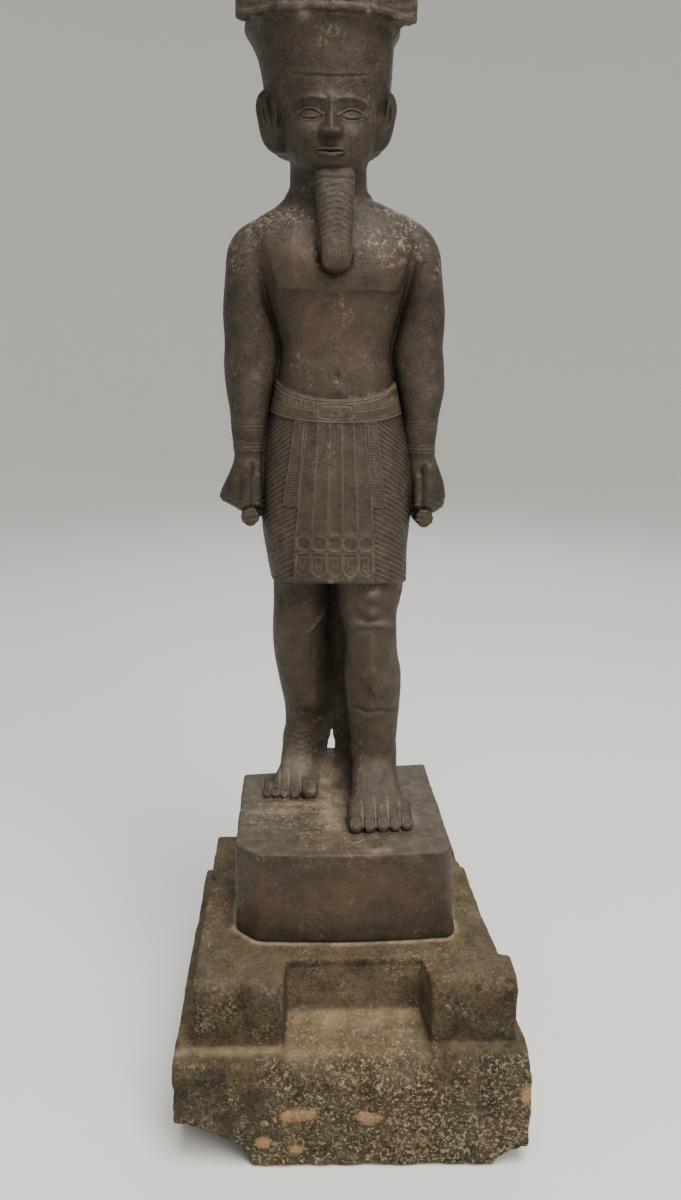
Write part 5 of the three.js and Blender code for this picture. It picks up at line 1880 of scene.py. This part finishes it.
# Places with pale flecks, warmer stone and dust: centre, half sizes, amount
patchValues = {
    "pale": [
        [(22, 20, 558), (32, 30, 20), 1.2], [(30, 45, 576), (34, 40, 16), 1.1],
        [(-56, 44, 572), (30, 38, 16), 1.15], [(-36, 26, 574), (26, 24, 12), 1.1],
        [(16, 20, 488), (18, 22, 12), 0.85], [(-32, 20, 488), (18, 22, 11), 0.75],
        [(-9, 18, 474), (12, 16, 10), 0.8], [(-78, 36, 550), (14, 28, 30), 0.95],
        [(54, 36, 552), (16, 28, 26), 0.9], [(-10, 20, 520), (34, 22, 22), 0.6],
        [(-15, 10, 670), (50, 30, 20), 0.7], [(-12, 40, 210), (60, 60, 40), 0.8],
        [(-12, 90, 560), (60, 30, 40), 0.5], [(-10, 90, 400), (60, 30, 80), 0.35],
        [(-20, 20, 760), (70, 40, 60), 0.5], [(-12, 40, 310), (60, 50, 50), 0.6],
        [(-10, 10, 178), (90, 70, 6), 1.2], [(-70, -30, 146), (18, 26, 40), 0.8],
        [(62, -30, 146), (18, 26, 40), 0.7], [(-80, 36, 480), (14, 28, 30), 0.65],
        [(60, 36, 480), (14, 28, 30), 0.5],
    ],
    "warm": [
        [(-10, 16, 506), (36, 26, 40), 0.75], [(-30, 18, 552), (24, 22, 22), 0.85],
        [(14, 18, 552), (20, 20, 16), 0.5], [(-10, 4, 400), (26, 20, 70), 0.3],
        [(-10, -50, 150), (80, 30, 30), 0.75], [(-20, 20, 290), (40, 40, 30), 0.5],
        [(-14, 8, 672), (18, 10, 12), 0.5], [(-12, 12, 462), (50, 24, 10), 0.5],
        [(14, 8, 250), (24, 24, 60), 0.5],
    ],
    # Pale dust and chips on the statue
    "chalk": [
        [(-32, 2, 681), (3.6, 6, 2.2), 0.9], [(4.9, 3, 683), (1.2, 3, 1.2), 1.0],
        [(-44, 12, 179), (24, 9, 3), 0.55], [(-12, 14, 180), (7, 34, 5), 0.85],
        [(-30, 22, 180), (26, 5, 3), 0.8], [(-20, 62, 200), (6, 8, 10), 0.5],
        [(20, -46, 179), (16, 4, 2), 0.5], [(46, 0, 180), (5, 18, 3), 0.5],
        [(-33, 44, 202), (13, 16, 12), 0.45], [(-10, 48, 190), (12, 20, 12), 0.9],
    ],
    # Painted shade on the legs: the oval and crease on the front shin, and the stone beside the
    # rear leg's inner side, darkened as if in shadow
    "dark": [
        [(5, 8, 264), (9, 14, 8), 0.5], [(11, 8, 252), (22, 14, 2.2), 0.9],
        [(-20, 30, 300), (4, 20, 40), 0.5], [(4, 8, 277), (8, 12, 1.6), 0.8],
        [(15, 8, 268), (1.8, 12, 7), 0.8], [(-17, 40, 262), (5, 20, 22), 0.5],
    ],
    # Ochre patches on the base's rough front
    "ochre": [
        [(-35, -117, 38), (13, 9, 6), 1.0], [(9, -117, 36), (10, 8, 5), 1.0],
        [(-55, -114, 18), (5, 8, 5), 0.9], [(-34, -117, 13), (6, 8, 5), 0.9],
        [(107, -116, 52), (5, 8, 8), 0.8], [(44, -118, 20), (8, 8, 5), 0.5],
        [(-80, -114, 44), (9, 8, 6), 0.35], [(72, -118, 30), (10, 8, 6), 0.4],
    ],
}


# Soft ragged patches round the given places
def patches(p, places):
    out = np.zeros(len(p))
    for centre, size, amount in places:
        away = (((p - np.array(centre)) / np.array(size)) ** 2).sum(axis=1)
        ragged = away * (1 + 0.5 * unevenness(p, 6, 81))
        out = np.maximum(out, amount * np.exp(-ragged))
    return out


# 1 where the skin faces up
def upwardShare(normal):
    return smoothStep(normal[:, 2], 0.55, 0.95)


# The statue's patches, painted shade on the legs among them, dust on its upward faces, most of all
# between the feet, and a faint painted light on the legs' front faces
def giveStatueValues(p, normal):
    x, y, z = p.T
    upward = upwardShare(normal)
    onFooting = upward * window(z, 176, 178, 181, 190)
    between = bump(x + 8, 12) * bump(y - 25, 45)
    # Painted light: the legs' front faces are made a little paler, as if more light reached them
    # under the kilt
    legFrontLight = 0.03 * faces(normal, 0, 0.6) * (z > 190) * (z < 342)
    dust = onFooting * (0.08 + 0.5 * between) + 0.06 * upward + legFrontLight
    for name, least in (("pale", 0.5), ("warm", 0), ("dark", 0)):
        giveValues(statue, name, np.maximum(least, patches(p, patchValues[name])))
    giveValues(statue, "dust", np.clip(np.maximum(dust, patches(p, patchValues["chalk"])), 0, 1))


footingLevel = 119.0        # where the footing's outline is taken


# Dust lies on the base's tops, most of all in a band round the statue's footing
def giveBaseValues(p, normal, v):
    x, y, z = p.T
    upward = upwardShare(normal)
    level = p.copy()
    level[:, 2] = footingLevel
    fromFooting = footingForm(figureValues["footing"])["field"](level)
    band = 1.4 * bump(fromFooting - 1.4, 1.2) + 0.16 * bump(fromFooting - 2, 3.5)
    band = band * (0.8 + 0.5 * unevenness(p, 9, 88)) * (z > v["platform"]["top"] - 3)
    sill = bump(y + 99, 4) * bump(z - v["slab"]["top"], 4) * (x < 0)
    inRecess = window(x, -47, -37, 42, 54) * (y < -60) * (z < 110)
    ragged = z + 5 * unevenness(p, 12, 86)
    foot = inRecess * (0.4 + 0.6 * bump(y + 74, 9) * upward) * smoothStep(ragged, 58, 76)
    lowRight = smoothStep(x - 1.8 * z, -120, 30)
    slabFront = smoothStep(-y, 97, 106) * (1 - smoothStep(z, 68, 76))
    low = 1 - smoothStep(z + 6 * unevenness(p, 18, 85), 16, 52)
    wander = x + 12 * unevenness(p, 15, 87)
    ramp = window(wander, -78, -14, 34, 66) * (y < -72) * (z < 84)
    plain = 0.6 + 0.1 * unevenness(p, 26, 84)
    pale = plain + slabFront * (0.22 * low + 0.36 * lowRight) + 0.28 * ramp * (1 - low)
    giveValues(base, "pale", np.clip(pale, 0, 1.3))
    giveValues(base, "dark", np.zeros(len(p)))
    giveValues(base, "warm", smoothStep(patches(p, patchValues["ochre"]), 0.3, 0.55))
    giveValues(
        base, "dust",
        np.clip(0.2 * upward * (1 - slabFront) + band + 0.55 * sill + 0.5 * foot, 0, 1),
    )


# Thins a piece that has more triangles than the given most, and smooths its shading
def fewerTriangles(piece, most):
    count = len(piece.data.polygons)
    if count > most:
        fewer = piece.modifiers.new("fewer", "DECIMATE")
        fewer.ratio = most / count
        settle(piece)
    piece.data.shade_smooth()


helpers = cutStrokes()
skinPoints, _ = arraysOf(statue)
giveValues(statue, "rough", statueRoughness(skinPoints, figureValues["footing"]["top"]))
weather = weatherTree()
addTree(statue, weather, weatherValues["statue"])
addTree(base, weather, weatherValues["base"])
settle(statue)
settle(base)
giveStatueValues(*giveWearAndShade(statue, figureField, wearAndShadeValues))
giveBaseValues(*giveWearAndShade(base, stoneField, wearAndShadeValues), baseValues)
fewerTriangles(statue, weatherValues["mostTriangles"])
fewerTriangles(base, weatherValues["mostTriangles"])
for helper in helpers:
    helperMesh = helper.data
    bpy.data.objects.remove(helper)
    bpy.data.meshes.remove(helperMesh)
print("weathered", len(statue.data.polygons), len(base.data.polygons))


def shaderNoise(tree, size, seed, detail, roughness, distortion=0.0):
    place = tree.nodes.new("ShaderNodeTexCoord")
    node = nodeAt(tree, "ShaderNodeTexNoise", noise_dimensions="4D")
    feed(node.inputs["Vector"], place.outputs["Object"])
    scale = nodeAt(tree, "ShaderNodeMath", operation="DIVIDE")
    feed(scale.inputs[0], 1.0)
    feed(scale.inputs[1], size)
    feed(node.inputs["Scale"], scale.outputs[0])
    for name, value in (
        ("W", seed), ("Detail", detail), ("Roughness", roughness), ("Distortion", distortion),
    ):
        feed(node.inputs[name], value)
    return node.outputs[0]


def mixColours(share, first, second, blend="MIX"):
    node = nodeAt(share.id_data, "ShaderNodeMix", data_type="RGBA", blend_type=blend)
    for k, value in ((0, share), (6, first), (7, second)):
        feed(node.inputs[k], value)
    return node.outputs[2]


# A value smoothly spread from one range to another
def ranged(value, low, high, toLow=0.0, toHigh=1.0):
    node = nodeAt(value.id_data, "ShaderNodeMapRange", interpolation_type="SMOOTHSTEP")
    for socket, one in zip(node.inputs, (value, low, high, toLow, toHigh)):
        feed(socket, one)
    return node.outputs[0]


def attribute(tree, name):
    return nodeAt(tree, "ShaderNodeAttribute", attribute_name=name).outputs["Fac"]


# Cloudy stone: two sizes of mottling, and a second hue in broad clouds
def mottleGroup():
    tree, given, end = newTree("ShaderNodeTree", "mottle", [
        ("Dark", "Color", (0, 0, 0, 1)), ("Light", "Color", (1, 1, 1, 1)),
        ("Tint", "Color", (1, 1, 1, 1)), ("Tint amount", "Float", 0.4),
        ("Size", "Float", 0.01), ("Seed", "Float", 1.0),
    ], [("Color", "Color"), ("Value", "Float")])
    broad = shaderNoise(tree, given["Size"], given["Seed"], 6.0, 0.65)
    small = maths("DIVIDE", given["Size"], 7.0)
    fine = shaderNoise(tree, small, given["Seed"], 3.0, 0.65, 0.5)
    value = plus(times(broad, 0.5), times(fine, 0.5))
    value = ranged(value, 0.35, 0.65)
    colour = mixColours(value, given["Dark"], given["Light"])
    wide = shaderNoise(tree, times(given["Size"], 2.5), given["Seed"], 5.0, 0.6)
    share = times(ranged(wide, 0.44, 0.62), given["Tint amount"])
    feed(end["Color"], mixColours(share, colour, given["Tint"], "MULTIPLY"))
    feed(end["Value"], value)
    return tree


# Short broken pale strokes, soft blotches and specks, gathered in clouds
def fleckGroup():
    tree, given, end = newTree("ShaderNodeTree", "paleFlecks", [
        ("Size", "Float", 0.004), ("Width", "Float", 0.05), ("Seed", "Float", 1.0),
        ("Amount", "Float", 0.5),
    ], [("Mask", "Float")])
    size, seed = given["Size"], given["Seed"]
    vein = shaderNoise(tree, size, seed, 2.0, 0.5, 0.6)
    away = maths("ABSOLUTE", minus(vein, 0.5))
    vein = ranged(maths("DIVIDE", away, given["Width"]), 1.0, 0.2)
    breaks = shaderNoise(tree, times(size, 0.7), plus(seed, 2.0), 1.0, 0.5)
    vein = times(vein, ranged(breaks, 0.5, 0.62))
    blotch = shaderNoise(tree, times(size, 0.9), plus(seed, 5.0), 3.0, 0.65, 0.4)
    blotch = times(ranged(blotch, 0.52, 0.7), 0.7)
    speck = shaderNoise(tree, times(size, 0.45), seed, 1.0, 0.5)
    speck = times(ranged(speck, 0.6, 0.7), 0.9)
    mask = maths("MAXIMUM", maths("MAXIMUM", vein, blotch), speck)
    cloud = shaderNoise(tree, times(size, 4.5), plus(seed, 4.0), 5.0, 0.7)
    cloud = times(minus(cloud, 0.5), 2.0)
    cover = ranged(plus(cloud, given["Amount"]), 0.48, 1.15)
    feed(end["Mask"], times(mask, cover))
    return tree


patchSize = 0.012


# Pale carved lines, light worn edges, painted shade in creases and sheltered places, and dust, from
# the values the mesh carries
def wearAndShadeGroup():
    tree, given, end = newTree("ShaderNodeTree", "wear", [
        ("Color", "Color", (1, 1, 1, 1)), ("Worn", "Color", (1, 1, 1, 1)),
        ("Hollow", "Color", (0, 0, 0, 1)), ("Dust", "Color", (1, 1, 1, 1)),
        ("Dust amount", "Float", 0.5), ("Worn amount", "Float", 0.6), ("Seed", "Float", 1.0),
    ], [("Color", "Color"), ("Mask", "Float")])
    patchy = ranged(shaderNoise(tree, patchSize, given["Seed"], 7.0, 0.75), 0.32, 0.66)
    worn = attribute(tree, "worn")
    some = plus(times(patchy, 0.5), 0.3)
    edge = times(times(ranged(worn, 0.15, 0.9), some), given["Worn amount"])
    # Painted shade: darker in creases, in sheltered places and on the shaded patches of the legs
    hollow = maths(
        "MAXIMUM", ranged(worn, -0.15, -0.9), ranged(attribute(tree, "shelter"), 0.25, 1.0),
    )
    hollow = maths("MAXIMUM", hollow, attribute(tree, "dark"))
    colour = mixColours(times(hollow, 0.6), given["Color"], given["Hollow"])
    colour = mixColours(edge, colour, given["Worn"])
    # Pale carved lines, among them a painted highlight along the plume slab's rim
    line = times(attribute(tree, "line"), plus(times(patchy, 0.6), 0.15))
    colour = mixColours(line, colour, given["Worn"])
    # Dust, with the faint painted light on the legs' fronts
    dust = times(attribute(tree, "dust"), plus(times(patchy, 0.7), 0.3))
    dust = times(dust, given["Dust amount"])
    colour = mixColours(dust, colour, given["Dust"])
    feed(end["Color"], colour)
    feed(end["Mask"], dust)
    return tree


def useGroup(tree, group, values):
    node = nodeAt(tree, "ShaderNodeGroup", node_tree=group)
    for name, value in values.items():
        feed(node.inputs[name], value)
    return node


mottle, flecks, wear = mottleGroup(), fleckGroup(), wearAndShadeGroup()
cloudSize, grainSize, coarseSize = 0.02, 0.0011, 0.0042

# Names with a capital letter are inputs of the groups above
# The darkest colour of each stone is painted as shade in creases and sheltered places; the dust
# colour also paints a faint light on the statue's legs
stoneValues = {
    "statue": {
        "Dark": (0.017, 0.0122, 0.0078, 1), "Light": (0.050, 0.0372, 0.0248, 1),
        "Tint": (0.84, 0.93, 0.9, 1), "Tint amount": 0.8, "Size": 0.008, "Seed": 1.5,
        "Worn": (0.15, 0.118, 0.084, 1), "Worn amount": 0.4, "Hollow": (0.009, 0.0065, 0.004, 1),
        "Dust": (0.36, 0.285, 0.20, 1), "Dust amount": 1.0, "warm": (0.105, 0.064, 0.036, 1),
        "fleck": (0.20, 0.16, 0.118, 1), "fleckShare": 0.85, "fleckSize": 0.0042,
        "fleckWidth": 0.1, "roughLow": 0.48, "roughHigh": 0.64, "gloss": 0.28,
        "bump": 0.9, "bumpDepth": 0.0005,
    },
    "base": {
        "Dark": (0.017, 0.0117, 0.0063, 1), "Light": (0.090, 0.0625, 0.0335, 1),
        "Tint": (0.66, 0.85, 0.92, 1), "Tint amount": 0.9, "Size": 0.014, "Seed": 4.5,
        "Worn": (0.21, 0.158, 0.09, 1), "Worn amount": 0.85, "Hollow": (0.010, 0.007, 0.004, 1),
        "Dust": (0.34, 0.255, 0.155, 1), "Dust amount": 0.9, "warm": (0.42, 0.25, 0.115, 1),
        "fleck": (0.42, 0.33, 0.2, 1), "fleckShare": 0.78, "fleckSize": 0.0035,
        "fleckWidth": 0.085, "roughLow": 0.7, "roughHigh": 0.9, "gloss": 0.25,
        "bump": 1.0, "bumpDepth": 0.0011,
    },
}


def stoneMaterial(name, v):
    material = bpy.data.materials.new(name)
    material.use_nodes = True
    tree = material.node_tree
    shader = tree.nodes["Principled BSDF"]

    def given(*names):
        return {name: v[name] for name in names}
    body = useGroup(tree, mottle, given("Dark", "Light", "Tint", "Tint amount", "Size", "Seed"))
    cloud = ranged(shaderNoise(tree, cloudSize, v["Seed"] + 9, 5.0, 0.65), 0.35, 0.6)
    warmShare = times(attribute(tree, "warm"), plus(times(cloud, 0.5), 0.2))
    colour = mixColours(warmShare, body.outputs["Color"], v["warm"])
    fleck = useGroup(tree, flecks, {
        "Size": v["fleckSize"], "Width": v["fleckWidth"], "Seed": v["Seed"],
        "Amount": attribute(tree, "pale"),
    })
    colour = mixColours(times(fleck.outputs["Mask"], v["fleckShare"]), colour, v["fleck"])
    # Worn edges and dust, with the painted shade and light
    worn = given("Worn", "Hollow", "Dust", "Dust amount", "Worn amount", "Seed")
    agedAndShaded = useGroup(tree, wear, {"Color": colour, **worn})
    feed(shader.inputs["Base Color"], agedAndShaded.outputs["Color"])
    shader.inputs["Specular IOR Level"].default_value = v["gloss"]
    feed(
        shader.inputs["Roughness"],
        ranged(body.outputs["Value"], 0.0, 1.0, v["roughHigh"], v["roughLow"]),
    )
    grain = shaderNoise(tree, grainSize, v["Seed"], 3.0, 0.6)
    coarse = shaderNoise(tree, coarseSize, v["Seed"] + 3, 4.0, 0.6)
    height = plus(grain, times(fleck.outputs["Mask"], 0.5))
    height = plus(height, times(coarse, 1.6))
    bumpNode = tree.nodes.new("ShaderNodeBump")
    bumpNode.inputs["Strength"].default_value = v["bump"]
    bumpNode.inputs["Distance"].default_value = v["bumpDepth"]
    feed(bumpNode.inputs["Height"], height)
    feed(shader.inputs["Normal"], bumpNode.outputs[0])
    return material


for piece, slot in ((statue, "statue"), (base, "base")):
    material = stoneMaterial(slot + "Stone", stoneValues[slot])
    piece.data.materials.clear()
    piece.data.materials.append(material)
    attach(piece, "root")
    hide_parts(slot)
print("materials")


stageValues = {
    # The stage turns up all round like a bowl: where it starts to, where it ends, and its height
    "floorRadius": 2.6, "rimRadius": 4.6, "rimHeight": 5.0, "rings": 13, "spokes": 72,
    "below": 0.0005, "floorColour": (0.8, 0.785, 0.76, 1), "floorRoughness": 0.8,
    "sky": (0.9, 0.92, 0.95, 1), "skyStrength": 0.42,
    # Lamp: place, what it points at, width, watts, colour
    "lamps": [
        [(1.1, -1.8, 1.9), (0, 0, 0.3), 1.0, 37, (1.0, 0.96, 0.89)],
        [(0.2, -0.7, 2.3), (0, 0, 0.15), 1.2, 60, (1.0, 0.97, 0.92)],
        [(-1.9, -1.3, 0.9), (0, 0, 0.4), 1.4, 3, (0.92, 0.96, 1.0)],
        [(0.4, 2.3, 1.7), (0, 0, 0.45), 1.4, 14, (1.0, 0.98, 0.95)],
    ],
}


def addStage(v):
    curve = v["rimRadius"] - v["floorRadius"]
    profile = [
        (v["floorRadius"] + curve * math.sin(t), curve * (1 - math.cos(t)))
        for t in np.linspace(0, math.pi / 2, v["rings"])
    ]
    profile += [(v["rimRadius"], v["rimHeight"])]
    count = v["spokes"]
    turns = np.linspace(0, 2 * math.pi, count, endpoint=False)
    points = [
        (r * math.cos(t), r * math.sin(t), z - v["below"]) for r, z in profile for t in turns
    ]
    faces = [list(range(count))]
    for row in range(len(profile) - 1):
        for i in range(count):
            j = (i + 1) % count
            faces.append(
                [row * count + i, (row + 1) * count + i, (row + 1) * count + j, row * count + j]
            )
    mesh = bpy.data.meshes.new("floor")
    mesh.from_pydata(points, [], faces)
    mesh.shade_smooth()
    floor = linked("floor", mesh)
    material = bpy.data.materials.new("floorPaint")
    material.use_nodes = True
    shader = material.node_tree.nodes["Principled BSDF"]
    shader.inputs["Base Color"].default_value = v["floorColour"]
    shader.inputs["Roughness"].default_value = v["floorRoughness"]
    mesh.materials.append(material)
    world = bpy.data.worlds.new("studio")
    world.use_nodes = True
    world.node_tree.nodes["Background"].inputs[0].default_value = v["sky"]
    world.node_tree.nodes["Background"].inputs[1].default_value = v["skyStrength"]
    scene.world = world
    for i, (place, aim, width, watts, colour) in enumerate(v["lamps"]):
        data = bpy.data.lights.new(f"lamp{i}", "AREA")
        data.size, data.energy, data.color = width, watts, colour
        lamp = linked(f"lamp{i}", data)
        lamp.location = place
        lamp.rotation_euler = (Vector(aim) - Vector(place)).to_track_quat("-Z", "Y").to_euler()


addStage(stageValues)
print("stage")
